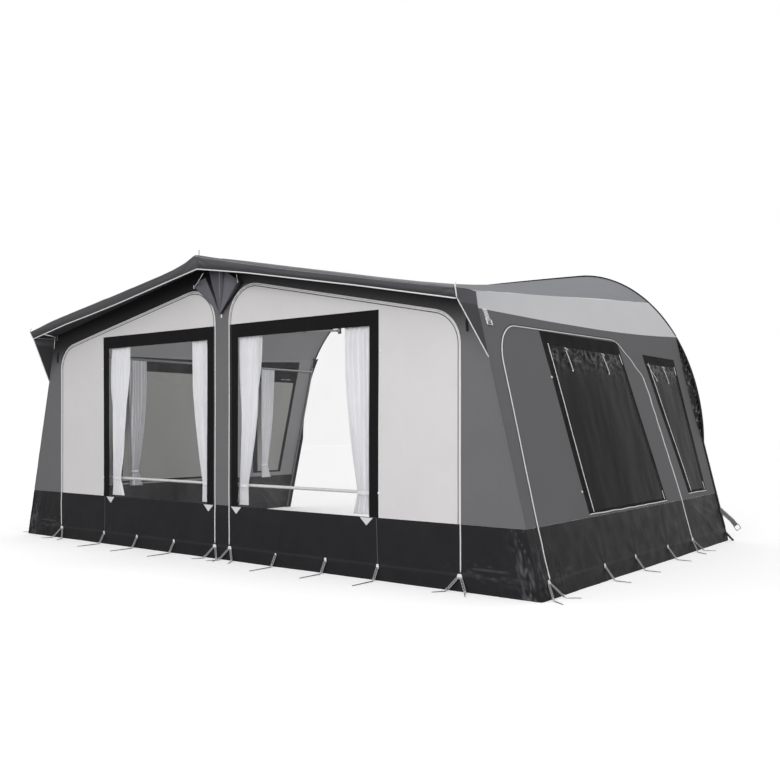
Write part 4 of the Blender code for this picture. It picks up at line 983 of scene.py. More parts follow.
def build_eave_tab(side, place):
    """A ribbed pale strap end with its buckle, hanging from the eave behind the hood's end."""
    parts = []
    (y_top, z_top), (back, down) = EAVE_TAB_TOP, EAVE_TAB_STEP
    for step in range(6):
        y, z = y_top + back * step, z_top - down * step
        parts.append(tube([place(y - 0.024, z, 0.004), place(y, z, 0.0075), place(y + 0.024, z, 0.004)],
                          0.004, 2))
    parts.append(tube([place(y, z, 0.006) for y, z in EAVE_BUCKLE], 0.0045, 2, closed=True))
    parts.append(tube([place(y, z, 0.006) for y, z in EAVE_BUCKLE_BAR], 0.003, 2))
    parts.append(band(place, EAVE_TAB_BACK, 0.044))
    piece("eave_tab_" + side, joined(parts), "white_plastic")


def build_rear_straps(side, sign, place):
    """The strap with a buckle behind the wall's rear foot, and the black one at its hem."""
    rear = WALL_REAR_Y - 0.012
    run = [(rear, 0.27, 0.004), (rear - 0.004, 0.225, 0.045), (rear, 0.18, 0.085),
           (rear + 0.003, 0.142, 0.105)]
    points = resampled([place(*point) for point in run], 0.008)
    across, ahead = Vector((sign * 0.79, -0.2, 0.61)) * 0.021, Vector((sign * 0.61, 0, -0.79))
    parts = []
    for index, point in enumerate(points):
        parts.append(tube([point - across, point + Vector((0, -0.002, 0)), point + across],
                          0.005 if index % 2 else 0.0042, 2))
    corners = ((-1.1, 0.004), (1.1, 0.004), (1.1, 0.045), (-1.1, 0.045))
    parts.append(tube([points[-1] + across * share + ahead * reach for share, reach in corners], 0.004, 2,
                      closed=True))
    piece("rear_strap_" + side, joined(parts), "strap_grey", slot="white_plastic")
    foot = [(rear - 0.004, 0.075, 0.006), (rear + 0.002, 0.04, 0.03), (rear + 0.004, 0.008, 0.052)]
    low = band(place, foot, 0.05, 0.003, wave=0.002)
    piece("rear_foot_strap_" + side, thickened(low, 0.005, side_out(sign)), "black_web",
          slot="black_rubber")


def build_side_window(side, sign, name, outline):
    place, outward = on_side(sign), side_out(sign)
    node = f"side_window_{name}_{side}"
    top = max(z for _, z in outline)
    light = drawn_in(outline, SIDE_FRAME_WIDTHS)
    seed = 3.7 if name == "front" else 8.2

    def small_folds(y, z):
        near = math.exp(-max(top - 0.16 - z, 0) / 0.05) * eased((top - 0.05 - z) / 0.04)
        return near, ridge(y * 13, z * 34, seed)

    def rolled(y, z):
        near, small = small_folds(y, z)
        held = eased(inset_of(light, Vector((y, z))) / 0.03)
        return held * (0.006 * near * (small - 0.6) + 0.0006 * (ridge(y * 7, z * 1.6, seed + 2) - 0.9))

    # Painted light on the film: its inner face takes the paler inside colour, and painted highlight strokes
    # lie along the small folds near its top.
    def lit(vertex):
        near, small = small_folds(vertex.co.y - FRONT_Y, vertex.co.z)
        return 1 if vertex.normal.dot(outward) < -0.2 else 0.3 * near * streak(small, 0.5)

    film = wall_sheet(node + "_film", "tinted_foil", node, outward, node, PVC / 2, lift=-0.0015,
                      crumple=rolled, spacing=FILM_GRID)
    set_shade(film.data, [lit(vertex) for vertex in film.data.vertices])
    raised = list(outline)
    if name == "front":
        edge = lambda y: mixed(SIDE_PANEL_TOP_FRONT, SIDE_PANEL_TOP_REAR, y / SIDE_PANEL_TOP_Y) - 0.02
        rear, fore = RAISED_TOP_Y
        raised[2:] = [(rear, edge(rear) - 0.006), (fore, edge(fore))]
    inside = raised[:2] + [(y, eave_height(y) - 0.03) for y, _ in raised[2:]]
    for tag, outer, out in (("", raised, 0.0012), ("_inside", inside, -CLOTH - 0.0012)):
        sheet_piece(node + "_border" + tag, window_border(outline, outer, place, out), "window_frame_pvc",
                    outward, SIDE_FRAME_STRIP, thickness=PVC / 2)
    beside = drawn_in(outline, [width - 0.0055 for width in SIDE_FRAME_WIDTHS])
    for tag, run in (("front", [beside[0], beside[3]]),
                     ("rear_head", [beside[2], beside[2].lerp(beside[1], 0.07)]),
                     ("rear_foot", [beside[1].lerp(beside[2], 0.06), beside[1]])):
        cord(f"{node}_{tag}_piping", [place(*p, 0.003) for p in resampled(run, 0.03)], 0.003)
    foot = [place(p.x, p.y - 0.002 + 0.004 * cloud(p.x * 7, seed, 1), 0.0035)
            for p in resampled(outline[:2], 0.03)]
    cord(node + "_foot_piping", foot, CORD_RADIUS)
    straps = []
    for (y, z), (y_end, z_end) in WINDOW_STRAPS[name]:
        z = min(z, mixed(light[3].y, light[2].y, (y - light[3].x) / (light[2].x - light[3].x)) - 0.018)
        bend = [(y, z, 0.005), (mixed(y, y_end, 0.5), mixed(z, z_end, 0.5), 0.007), (y_end, z_end, 0.006)]
        straps.append(thickened(band(place, bend, 0.011, 0.001, wave=0.0006), 0.0012, outward))
        straps.append(tube([place(y - 0.02, z + 0.008, 0.008), place(y + 0.004, z + 0.002, 0.011),
                            place(y + 0.026, z - 0.006, 0.008)], CORD_RADIUS))
        straps.append(stud(place, y_end, z_end, 0.007))
    piece(node + "_straps", joined(straps), "white_cord", node)


def window_border(outline, raised, place, out):
    """The dark frame between a side window's clear part and its outline, whose top may be raised."""
    foot, *others = SIDE_FRAME_WIDTHS
    runs = []
    for corners in ([Vector(corner) for corner in raised], drawn_in(outline, (foot + 0.0025, *others))):
        runs.append([start.lerp(end, step / BORDER_STEPS)
                     for start, end in zip(corners, corners[1:] + corners[:1])
                     for step in range(BORDER_STEPS)])
    return lofted([[place(*near.lerp(far, share), out) for near, far in zip(*runs)]
                   for share in (0, 0.33, 0.67, 1)], closed=True)


# Skirts and pegging

def stations(place, straps, reach, vees):
    """Where a skirt is pegged: (place, along it, the feet's leans, how far its pegs reach)."""
    return [(place, along, (0,), reach) for along in straps] + \
        [(place, along, (-VEE_SPREAD, VEE_SPREAD), VEE_PEG_REACH) for along in vees]


def pegging(name, pegged):
    """Ladder straps from the hem, their hooks and the pegs, each kind one piece."""
    straps, hooks, pegs = [], [], []
    floor, nose = PEG_RADIUS + GAP, STRAP_OUT[1] + STRAP_THICKNESS / 2
    run = [(nose - 0.012, 0.018), (nose - 0.006, 0.021), (nose, 0.018)]
    run += [(nose + 0.006 * (1 - math.cos(turn)), floor + 0.006 - 0.006 * math.sin(turn))
            for turn in (0, math.pi / 6, math.pi / 3, math.pi / 2)]
    for place, along, leans, reach in pegged:
        for lean in leans:
            foot, way = along + lean, math.copysign(1, lean) if lean else 0
            straps.append(ladder(place, along + way * VEE_TOP_SPREAD, foot))
            hooked = [place(foot, out, up) for out, up in run]
            hooked.append(place(foot + way * VEE_PEG_SPLAY, reach - 0.004, floor))
            pegs.append(tube(hooked, PEG_RADIUS))
        hooks.append(hook(place, along, HOOK_HALF + VEE_TOP_SPREAD * (len(leans) - 1)))
    piece(name + "_straps", joined(straps), "strap_grey", slot="skirt_pvc")
    piece(name + "_hooks", joined(hooks), "white_plastic", slot="skirt_pvc")
    piece(name + "_pegs", joined(pegs), "zinc_steel", slot="skirt_pvc", smooth=60)


def ladder(place, top, foot):
    """A rubber ladder strap: two rails joined by rungs."""
    def at(a, share):
        return place(mixed(top, foot, share) + a, mixed(*STRAP_OUT, share), mixed(*STRAP_HEIGHT, share))

    half = STRAP_WIDTH / 2
    parts = [tube([at(side * half, share) for share in spread(6)], 0.0034, 2) for side in (-1, 1)]
    for rung in range(STRAP_RUNGS + 1):
        share = 0.04 + 0.92 * rung / STRAP_RUNGS
        parts.append(tube([at(-half, share), at(half, share)], 0.003, 2))
    return joined(parts)


def hook(place, along, half):
    """The pale plastic plate that a strap hangs from, with a rounded face."""
    rows = []
    for share in spread(6):
        up = mixed(STRAP_HEIGHT[0] - 0.010, STRAP_HEIGHT[0] + 0.020, share)
        wide = half * (1 - 0.45 * share ** 2)
        bulge = 0.0025 * math.sin(math.pi * min(max(share, 0.05), 0.95))
        rows.append([place(along + wide * across, 0.0015 + bulge * (1 - across ** 2), up)
                     for across in (-1, -0.6, 0, 0.6, 1)])
    return evaluated(lofted(rows), "SOLIDIFY", thickness=0.003, offset=0)


def build_skirts():
    foot, top = wall_x(0), wall_x(SKIRT_TOP)
    place = on_front()

    def front_at(up, across):
        reach = mixed(foot, top, up)
        return place(mixed(-reach, reach, across), SKIRT_TOP * up)

    sheet = surface(SKIRT_ROWS, FRONT_SKIRT_COLUMNS, front_at)
    sheet_piece("front_skirt_sheet", sheet, "skirt_pvc", FRONT_OUT, (2 * foot, SKIRT_TOP), "hung",
                area=(foot + top) * SKIRT_TOP, thickness=PVC, nodes=["front_skirt"],
                shade=lambda at: painted_crumple_highlight(wall_x(at.z) - abs(at.x), at.z, 3) + painted_weld_highlight(at.z))
    pegged = []
    for _, sign in SIDES:
        before = lambda a, out, up, sign=sign: Vector((sign * a, FRONT_Y - out, up))
        pegged += stations(before, FRONT_PEG_X, PEG_REACH, (ZIP_INNER_X, ZIP_OUTER_X))
    pegging("front_skirt", pegged)
    for side, sign in SIDES:
        place = on_side(sign)
        sheet = surface(SKIRT_ROWS, SIDE_SKIRT_COLUMNS,
                        lambda up, along: place(mixed(FABRIC, WALL_REAR_Y, along), SKIRT_TOP * up))
        sheet_piece(f"side_skirt_{side}_sheet", sheet, "skirt_pvc", side_out(sign),
                    (WALL_REAR_Y, SKIRT_TOP * math.hypot(1, WALL_LEAN_SHARE)), "hung", thickness=PVC,
                    nodes=["side_skirt_" + side],
                    shade=lambda at: 0.7 * painted_crumple_highlight(at.y - FRONT_Y, at.z, 9) + painted_weld_highlight(at.z) +
                    rear_fold_highlights(at.y - FRONT_Y, at.z))
        beside = lambda a, out, up: Vector((sign * (wall_x(up) + out), FRONT_Y + a, up))
        pegging("side_skirt_" + side,
                stations(beside, SIDE_PEG_Y, SIDE_PEG_REACH, (SIDE_ZIP_Y, SIDE_ZIP_FOOT_Y)))


# A painted highlight along the hem's welded edge.
def painted_weld_highlight(height):
    return 0.10 * bell(height, HEM_WELD_HEIGHT, 0.006)


def rear_fold_highlights(along, height):
    """Painted highlights on the folds that fan across the side skirt's rear end, 0 to 1."""
    turn = math.atan2(height - 0.42, along - 2.62)
    reach = math.hypot(height - 0.42, along - 2.62)
    return 0.18 * streak(ridge(turn * 6, reach * 1.5, 2), 0.4) * eased((along - 2.6) / 0.2) * \
        eased(reach / 0.25)


# Roof and hood

ROOF_ROWS = 80
ROOF_COLUMNS = 48               # on each half of the top
BAND_COLUMNS = 16
HOOD_COLUMNS = 150              # on each half
CREASE_REAR_X = rail_x(CREASE_REAR_HEIGHT)


def crease_point(share):
    return Vector((mixed(CREASE_FRONT_X, CREASE_REAR_X, share), ROOF_REAR_Y * share,
                   mixed(CREASE_FRONT_HEIGHT, CREASE_REAR_HEIGHT, share)))


def ridge_point(share):
    return Vector((0, ROOF_REAR_Y * share, mixed(APEX_HEIGHT, RAIL_HEIGHT, share)))


def eave_point(share):
    y = ROOF_REAR_Y * share
    height = eave_height(y)
    return Vector((wall_x(height) - FABRIC, y, height))


def top_curve(share):
    x = CREASE_REAR_X * share
    return Vector((x, ROOF_REAR_Y, rail_height(x)))


def side_curve(share):
    height = mixed(CREASE_REAR_HEIGHT, EAVE_REAR_HEIGHT, share)
    return Vector((rail_x(height), ROOF_REAR_Y, height))


def roof_point(inner, outer, curve, across, back):
    """A place on the roof between two lines that run back; curve is its rear edge between them."""
    bulge = curve(across) - curve(0).lerp(curve(1), across)
    return inner(back).lerp(outer(back), across) + bulge * back ** ROOF_BULGE_FALL + Vector((0, FRONT_Y, 0))


def roof_crease(back, x, y):
    return min(eased(back / 0.06), eased((1 - back) / 0.06)) * ROOF_RIPPLES(x, y)


def build_roof():
    def top_at(back, across):
        point = roof_point(ridge_point, crease_point, top_curve, abs(across), back)
        point.x = math.copysign(point.x, across)
        sag = ROOF_SAG * math.sin(math.pi * back) * math.sin(math.pi * abs(across))
        point.z += FABRIC + roof_crease(back, point.x, point.y) - sag
        return point

    def band_at(back, across):
        point = roof_point(crease_point, eave_point, side_curve, across, back)
        out = FABRIC + math.sin(math.pi * across) * roof_crease(back, point.z + 9, point.y)
        return Vector((sign * (point.x + out * across), point.y, point.z + (1 - across) * FABRIC))

    sheet = lofted([[top_at(back, across) for across in mirrored(ROOF_COLUMNS)]
                    for back in spread(ROOF_ROWS)])
    sheet_piece("roof_cloth_top", sheet, "roof_cloth", UP, (ROOF_FLAT_WIDTH, ROOF_REAR_Y),
                area=area_of(sheet), lined=True, nodes=["roof_panel"])
    for side, sign in SIDES:
        rows = [[band_at(back, across) for across in spread(BAND_COLUMNS)] for back in spread(ROOF_ROWS)]
        widest = max(sum((b - a).length for a, b in zip(row, row[1:])) for row in rows)
        sheet = lofted(rows)
        sheet_piece("roof_band_" + side, sheet, "band_cloth", side_out(sign), (ROOF_REAR_Y, widest),
                    area=area_of(sheet), lined=True, nodes=["roof_side_" + side])


def lie_at(table, x):
    """A table's height at x, with straight lines between its entries."""
    for (near, a), (far, b) in zip(table, table[1:]):
        if x <= far:
            return mixed(a, b, min(max((x - near) / (far - near), 0), 1))
    return table[-1][1]


def hood_edges(share, sign):
    """The hood's front edge and its valance's foot, as the cloth lies; sign is for X."""
    peak = HOOD_PEAK * (1 - share) ** HOOD_PEAK_CURVE
    x, reach = CREASE_FRONT_X * share, mixed(HOOD_APEX_REACH, HOOD_TIP_REACH, share)
    height = mixed(HOOD_APEX_HEIGHT, HOOD_TIP_HEIGHT, share) + peak
    drop = mixed(VALANCE_APEX_DROP + peak, VALANCE_TIP_DROP, share)
    across = math.copysign(x, sign)
    return (Vector((x, HOOD_EDGE_LEAN - reach, height + lie_at(HOOD_EDGE_LIE, across))),
            Vector((x, -reach, height - drop + lie_at(HOOD_FOOT_LIE, across))))


def pin_folds(across, up):
    """Folds of the hood that fan out from a pin."""
    reach = math.hypot(across, up)
    if reach > 0.7 or reach < 0.004:
        return 0
    return 0.006 * math.exp(-reach / 0.2) * eased(reach / 0.05) * math.sin(11 * math.atan2(up, across))


def hood_point(share, run, sign):
    """A place on the hood; run goes 0 at the wall, 1 at its front edge, 2 at the valance's foot."""
    x = CREASE_FRONT_X * share
    wall = Vector((x, 0, gable_height(x)))
    edge, foot = hood_edges(share, sign)
    point = wall.lerp(edge, run) if run < 1 else edge.lerp(foot, run - 1)
    rounding = max(0, 1 - abs(run - 1) / 0.06)
    point += ((wall - edge).normalized() + (foot - edge).normalized()) * 0.004 * rounding ** 2
    out = 0
    if 0 < run < 2:
        out = HOOD_RIPPLES(sign * point.x, run) * math.sin(math.pi * run / 2) ** 0.5
        if run > 1:
            below = (run - 1) * (edge.z - foot.z)
            held = math.sin(math.pi * (run - 1)) ** 0.5
            out += held * (pin_folds(point.x, below) + pin_folds(CREASE_FRONT_X - point.x, below))
    return seated(point + (UP if run < 1 else FRONT_OUT) * (FABRIC * min(run * 4, 1) + out), sign)


def valance_painted_shade(place):
    """Painted shade on the valance: it darkens down to its piping, most on the right."""
    share = min(abs(place.x) / CREASE_FRONT_X, 1)
    edge, foot = hood_edges(share, place.x)
    depth = 0.65 if place.x > 0 else mixed(0.3, 0.65, eased((share - 0.6) / 0.4))
    return depth * eased(((edge.z - place.z) / (edge.z - foot.z) - 0.35) / 0.55)


def along_hood(at):
    """Places at(share of a half, sign) from the hood's left tip to its right one."""
    return [at(abs(share), math.copysign(1, share)) for share in mirrored(HOOD_COLUMNS)]


def build_hood():
    sheet = lofted([along_hood(lambda share, sign: hood_point(share, run, sign))
                    for run in HOOD_RUNS])
    sheet_piece("hood_cloth_top", sheet, "hood_cloth", Vector((0, -1, 1)), HOOD_FLAT, area=area_of(sheet),
                nodes=["hood"], shade=valance_painted_shade)
    build_hood_ends()
    proud = Vector((0, -0.0008, 0.0004))
    cord("hood_edge_welt", along_hood(lambda share, sign: hood_point(share, 1, sign) + proud), 0.0024,
         "strap_grey", "hood_cloth", 2)
    below = Vector((0, -FABRIC / 2, -PIPING_RADIUS))
    cord("hood_valance_piping",
         along_hood(lambda share, sign: seated(hood_edges(share, sign)[1] + below, sign)), 0.0046,
         nodes=["hood_piping"])


def build_hood_ends():
    """The hood's end gussets, from its tip down to the wall's corner."""
    wall, corner, foot = (Vector((x, 0, z)) for x, z in (
        (CREASE_FRONT_X, gable_height(CREASE_FRONT_X)), (wall_x(EAVE_FRONT_HEIGHT), EAVE_FRONT_HEIGHT),
        (wall_x(HOOD_END_FOOT_HEIGHT), HOOD_END_FOOT_HEIGHT)))
    for side, sign in SIDES:
        tip, drop = hood_edges(1, sign)
        turn = lambda p, *moved: seated(p + Vector((FABRIC, 0, 0)), sign) + Vector(moved or (0, 0, 0))
        rows = [[turn(wall.lerp(tip, across).lerp(corner.lerp(drop, across), share))
                 for across in spread(HOOD_END_COLUMNS)] for share in spread(HOOD_END_ROWS[0])]
        rows += [[turn(corner.lerp(foot, share).lerp(drop.lerp(foot, share), across))
                  for across in spread(HOOD_END_COLUMNS)] for share in spread(HOOD_END_ROWS[1])[1:]]
        rows[-1] = [point + Vector((0, 0.0004 * index, 0)) for index, point in enumerate(rows[-1])]
        sheet = lofted(rows)
        # Painted shade darkens the part of each end below the eave's height.
        sheet_piece("hood_end_" + side, sheet, "hood_cloth", side_out(sign), HOOD_END_FLAT,
                    area=area_of(sheet),
                    shade=lambda place: 0.55 * eased((EAVE_FRONT_HEIGHT + 0.022 - place.z) / 0.012))
        cord(f"hood_end_{side}_piping",
             [turn(drop.lerp(foot, share), sign * 0.001, -0.002, 0) for share in spread(20)], 0.0036)
        hung = [turn(tip, sign * 0.004, 0.012, 0.03), turn(tip, sign * 0.006, 0.002, 0.008),
                turn(tip.lerp(drop, 0.5), sign * 0.006, -0.002, 0), turn(drop, sign * 0.002, -0.003, 0)]
        cord(f"hood_end_{side}_cord", resampled(hung, 0.01), CORD_RADIUS)


def build_gusset():
    """The funnel of pleats that flares from the zip up to the hood."""
    tip = Vector((0, FRONT_Y - GUSSET_TIP_OUT, GUSSET_FOOT_HEIGHT))
    rim = []
    for near, far in zip(GUSSET_RIM, GUSSET_RIM[1:]):
        steps = max(2, int(math.dist(near[:3], far[:3]) / 0.008))
        rim += [[mixed(a, b, step / steps) for a, b in zip(near, far)] for step in range(steps)]
    rim.append(GUSSET_RIM[-1])
    rows, painted_pleat_shade = [], []
    for rise in spread(GUSSET_ROWS):
        rows.append([])
        for across, out, height, dark in rim:
            narrow = tip + Vector((across * 0.05, out * 0.02, 0))
            point = narrow.lerp(Vector((across, FRONT_Y - out, height)), rise)
            point.y += 0.006 * math.sin(math.pi * rise) * cloud(across * 22, rise * 3, 1)
            rows[-1].append(point)
            # Painted shade in the gaps between pleats, and along the rim under the hood.
            painted_pleat_shade.append(max(dark, 0) * (0.55 + 0.45 * rise) + 0.2 * eased((rise - 0.75) / 0.25))
    sheet = lofted(rows)
    set_shade(sheet, painted_pleat_shade)
    sheet_piece("centre_gusset_cloth", sheet, "pleat_grey", FRONT_OUT, GUSSET_STRIP, "gathered",
                slot="hood_cloth", nodes=["centre_gusset"])
    # A pale cord along one pleat's crest, as a painted highlight.
    crest = [tip.lerp(Vector((0.116, FRONT_Y - 0.1285, 2.15)), share) + Vector((0, -0.0012, 0))
             for share in (0.35, 0.5, 0.65, 0.8, 0.97)]
    cord("centre_gusset_crest_highlight", crest, 0.0032, "strap_grey", "hood_cloth", 2)
    for name, across, (x, out, z) in GUSSET_CORDS:
        corner, end = Vector((across, FRONT_Y - 0.070, 2.050)), Vector((x, FRONT_Y - out, z))
        hang = [corner.lerp(end, share) - Vector((0, 0, 0.006 * math.sin(math.pi * share)))
                for share in spread(6)]
        toggle = [corner + Vector((0, -0.004, 0.012)), corner + Vector((0.003, -0.004, -0.014))]
        piece("centre_gusset_cord_" + name, joined([tube(hang, 0.0026), tube(toggle, 0.005)]), "white_cord")
    tab = [Vector((-0.002, FRONT_Y - 0.005, z)) for z in (1.832, 1.824, 1.814, 1.806)]
    cord("centre_gusset_tab", tab, 0.007, "white_plastic")


# Rear edge

def build_rear_seal(side, sign):
    rows = []
    for height in (0.02 * step for step in range(int(EAVE_REAR_HEIGHT / 0.02) + 1)):
        x = rail_x(height) - SEAL_WIDTH / 2
        puff = min(1 + 0.25 * cloud(height * 14, sign * 3, 0), 1.1)
        rows.append([])
        for c, s in circle(16):
            across = math.copysign(abs(c) ** 0.7, c) * SEAL_WIDTH / 2 * 0.97
            deep = math.copysign(abs(s) ** 0.7, s) * SEAL_THICKNESS / 2 * 0.9 * puff
            rows[-1].append(Vector((sign * (x + across), FRONT_Y + ROOF_REAR_Y - SEAL_THICKNESS / 2 + deep,
                                    max(height, 0.001))))
    made = piece(f"rear_seal_{side}_pad", capped(lofted(rows, closed=True)), "black_rubber",
                 nodes=["rear_seal_" + side])


def build_keder():
    """The beaded cord of the rear edge and the flap of cloth that holds it."""
    heights = [RAIL_FOOT_HEIGHT * step / 8 for step in range(8)]
    heights += [mixed(RAIL_FOOT_HEIGHT, EAVE_REAR_HEIGHT, share) for share in spread(30)]
    half = [(rail_x(z) - KEDER_RADIUS, max(z, KEDER_RADIUS)) for z in heights]
    inward = [rail_x(EAVE_REAR_HEIGHT) * (1 - share ** 2) for share in spread(60)[1:]]
    half += [(x, rail_height(x) - KEDER_RADIUS) for x in inward]
    whole = [(-x, z) for x, z in half] + list(reversed(half[:-1]))
    cord("keder_cord", [Vector((x, REAR_Y - KEDER_RADIUS, z)) for x, z in whole], 0.0065, "black_rubber",
         nodes=["keder"])
    rows = [[], [], [], []]
    for before, here, after in zip(whole, whole[1:-1], whole[2:]):
        along = Vector((after[0] - before[0], after[1] - before[1])).normalized()
        outward = Vector((-along.y, 0, along.x))
        for row, inset, lift in zip(rows, (0.0, 0.004, 0.034, 0.042), (0.004, 0.0085, 0.0088, 0.0062)):
            row.append(Vector((here[0], REAR_Y - inset, here[1] + KEDER_RADIUS)) + outward * lift)
    sheet_piece("keder_flap", lofted(rows), "black_web", UP, FLAP_STRIP, slot="black_rubber")


def build_rear_crescent(side, sign):
    """The crumpled dark strip that fills the gap between the wall's plane and the rail's curve."""
    def place(up, across):
        z = mixed(*SEAL_SKIN_SPAN, up)
        share = min(max(rail_x(z) - wall_x(z), 0) / 0.05, 1)
        near = Vector((wall_x(z) + 0.0015, ROOF_REAR_Y - 0.022 - 0.045 * share, z))
        far = Vector((max(rail_x(z), wall_x(z)) + 0.001, ROOF_REAR_Y + 0.001, z))
        point = near.lerp(far, across)
        fold = cloud(across * 2.4, z * 34, sign) + 0.6 * cloud(across * 5, z * 80, sign + 4)
        point.x += 0.011 * share * fold * math.sin(math.pi * across) ** 0.6
        return seated(point, sign)

    # Painted highlights streak along the crumples' crests.
    sheet_piece(f"rear_seal_{side}_skin", surface(*SEAL_SKIN_GRID, place), "crumpled_black", side_out(sign),
                SEAL_SKIN_STRIP, "gathered", slot="black_rubber",
                shade=lambda at: 0.9 * streak(ridge(at.y * 22, at.z * 26, 5), 0.7))


def build_rear_edge():
    for side, sign in SIDES:
        build_rear_seal(side, sign)
    build_keder()
    for side, sign in SIDES:
        build_rear_crescent(side, sign)


# Curtains

def hang_curtain(node, spans, seed, top, place):
    """A tied curtain: deep folds at the top that close up at the tie and open again below it."""
    head, tie, foot = spans

    def at(down, across):
        height = mixed(top, CURTAIN_FOOT, down)
        if height > CURTAIN_TIE_HEIGHT:
            ease = ((top - height) / (top - CURTAIN_TIE_HEIGHT)) ** 2
            ends = [mixed(a, b, ease) for a, b in zip(head, tie)]
        else:
            ease = (CURTAIN_TIE_HEIGHT - height) / (CURTAIN_TIE_HEIGHT - CURTAIN_FOOT)
            ends = [mixed(a, b, ease) for a, b in zip(tie, foot)]
        lean = 0.6 * cloud(across * 3, height * 1.5, seed)
        fold = math.sin(math.tau * (CURTAIN_FOLDS * across + lean))
        size = CURTAIN_FOLD_DEPTH * (0.75 + 0.4 * cloud(across * 5, height * 2, seed + 4))
        out = fold * size + 0.002 * cloud(across * 25, height * 9, seed + 8)
        return place(mixed(*ends, across), max(min(out, CURTAIN_REACH), -CURTAIN_REACH), height)

    sheet = surface(CURTAIN_ROWS, CURTAIN_FOLD_COLUMNS * CURTAIN_FOLDS, at)
    made = piece(node + "_cloth", sheet, "curtain_white", node, nodes=[node], smooth=60)
    middle, half = sum(tie) / 2, abs(tie[1] - tie[0]) / 2 + 0.004
    rows = []
    for up in (-0.012, -0.006, 0.006, 0.012):
        slack = 1 - 0.04 * abs(up) / 0.012
        rows.append([place(middle + half * slack * c, 0.0185 * slack * s, CURTAIN_TIE_HEIGHT + up)
                     for c, s in circle(32)])
    piece(node + "_tie", lofted(rows, closed=True), "curtain_white", node, smooth=60)


def build_curtains():
    back = FABRIC + CURTAIN_BACK + CURTAIN_FOLD_DEPTH
    x = EAVES_RAIL_HIGH.x - TUBE_RADIUS - SIDE_CURTAIN_INSET
    top = EAVES_RAIL_LOW.z - GAP
    for side, sign in SIDES:
        for name, spans, seed in FRONT_CURTAINS:
            hang_curtain(f"curtain_{name}_{side}", spans, seed + sign,
                         TRACK_FOOT - GAP,
                         lambda along, fold, z: Vector((sign * along, FRONT_Y + back + fold, z)))
        for name, start in SIDE_CURTAIN_STARTS.items():
            hang_curtain(f"side_curtain_{name}_{side}",
                         [(start, start + width) for width in SIDE_CURTAIN_WIDTHS], start + sign,
                         top,
                         lambda along, fold, z: Vector((sign * (x + fold), FRONT_Y + along, z)))


# Frame of tube: the solids' own shapes with their finish

def finish_rigid():
    steel = ("frame_connector", "rail_bracket", "centre_rafter", "side_rafter", "gable_rail", "leg_",
             "rear_upright", "eaves_rail")
    plastic = ("veranda_rail", "curtain_track")
    for name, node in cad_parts.items():
        for starts, look in ((steel, "zinc_steel"), (plastic, "white_plastic")):
            if name.startswith(starts):
                node.data.materials.clear()
                node.data.materials.append(LOOKS[look])


# Stage, light and camera

def build_stage():
    bpy.ops.mesh.primitive_plane_add(size=FLOOR_SIZE)
    floor = bpy.context.object
    floor.name = "floor"
    material = bpy.data.materials.new("floor_look")
    material.use_nodes = True
    tree = material.node_tree
    shader = tree.nodes["Principled BSDF"]
    shader.inputs["Roughness"].default_value = 0.9
    shader.inputs["Specular IOR Level"].default_value = 0.1
    rays = add_node(tree, "LightPath").outputs
    lit, seen = ((share, share, share, 1) for share in FLOOR_SHARES)
    tone = add_node(tree, "Mix", {"Factor": rays["Is Camera Ray"], "A": lit, "B": seen}, data_type="RGBA")
    tree.links.new(tone.outputs["Result"], shader.inputs["Base Color"])
    direct = add_node(tree, "Math", {0: rays["Is Camera Ray"], 1: rays["Is Transmission Ray"]},
                      operation="MAXIMUM")
    strength = add_node(tree, "Math", {0: direct.outputs[0], 1: FLOOR_GLOW}, operation="MULTIPLY")
    glow = add_node(tree, "Emission", {"Strength": strength.outputs[0]})
    both = add_node(tree, "AddShader", {0: shader.outputs["BSDF"], 1: glow.outputs["Emission"]})
    tree.links.new(both.outputs["Shader"], tree.nodes["Material Output"].inputs["Surface"])
    floor.data.materials.append(material)


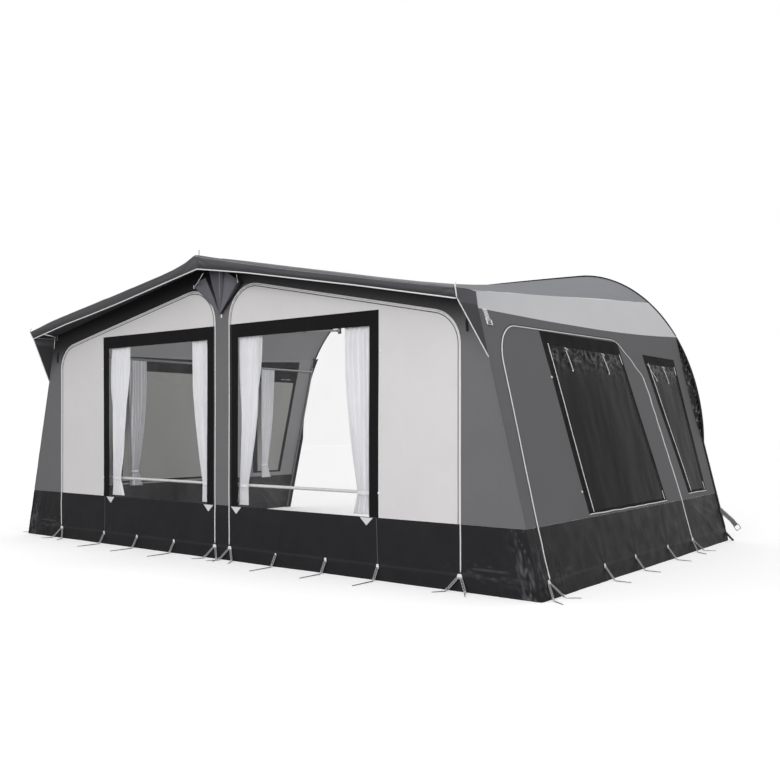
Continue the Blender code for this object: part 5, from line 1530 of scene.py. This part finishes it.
def build_world():
    """A soft sky for the light, and plain white for what is seen of it."""
    world = bpy.data.worlds.new("studio")
    bpy.context.scene.world = world
    world.use_nodes = True
    tree = world.node_tree
    sky = tree.nodes["Background"]
    sky.inputs["Strength"].default_value = 1
    way = add_node(tree, "TexCoord").outputs["Generated"]
    up = add_node(tree, "SeparateXYZ", {0: way}).outputs["Z"]
    height = add_node(tree, "Math", {0: up, 1: 0.5, 2: 0.5}, operation="MULTIPLY_ADD").outputs[0]
    ramp = add_node(tree, "ValToRGB", {"Fac": height})
    stops = ramp.color_ramp.elements
    stops.new(0.5)
    for stop, (position, share) in zip(stops, SKY_STOPS):
        stop.position = position
        stop.color = (share, share, share, 1)
    tree.links.new(ramp.outputs["Color"], sky.inputs["Color"])
    white = add_node(tree, "Background", {"Strength": 1, "Color": (1, 1, 1, 1)})
    rays = add_node(tree, "LightPath").outputs
    seen = rays["Is Camera Ray"]
    for kind in ("Is Transmission Ray", "Is Glossy Ray"):
        seen = add_node(tree, "Math", {0: seen, 1: rays[kind]}, operation="MAXIMUM").outputs[0]
    mix = add_node(tree, "MixShader", {0: seen, 1: sky.outputs[0], 2: white.outputs[0]})
    tree.links.new(mix.outputs["Shader"], tree.nodes["World Output"].inputs["Surface"])


def add_lamp(name, place, aim, size, power):
    lamp = bpy.data.lights.new(name, "AREA")
    lamp.shape = "RECTANGLE"
    lamp.size, lamp.size_y = size
    lamp.energy = power
    made = new_object(name, lamp)
    made.location = place
    made.rotation_euler = (Vector(aim) - Vector(place)).to_track_quat("-Z", "Y").to_euler()
    return made


def build_lights():
    """A large key lamp, and a soft one inside for the light that cloth lets through, out of sight."""
    add_lamp(*KEY_LAMP)
    inside = add_lamp(*INSIDE_LAMP)
    inside.visible_camera = inside.visible_glossy = inside.visible_transmission = False


def build_camera():
    lens = bpy.data.cameras.new("camera")
    lens.lens = CAMERA_LENS
    lens.sensor_width = 36
    lens.shift_y = CAMERA_SHIFT
    camera = new_object("camera", lens)
    camera.location = CAMERA_PLACE
    camera.rotation_euler = (math.radians(90), 0, CAMERA_YAW)
    bpy.context.scene.camera = camera


bpy.context.scene.view_settings.view_transform = "Standard"
for build in (build_camera, build_stage, build_world, build_lights, build_front, build_sides, build_skirts,
              build_roof, build_hood, build_gusset, build_rear_edge, build_curtains, finish_rigid):
    build()
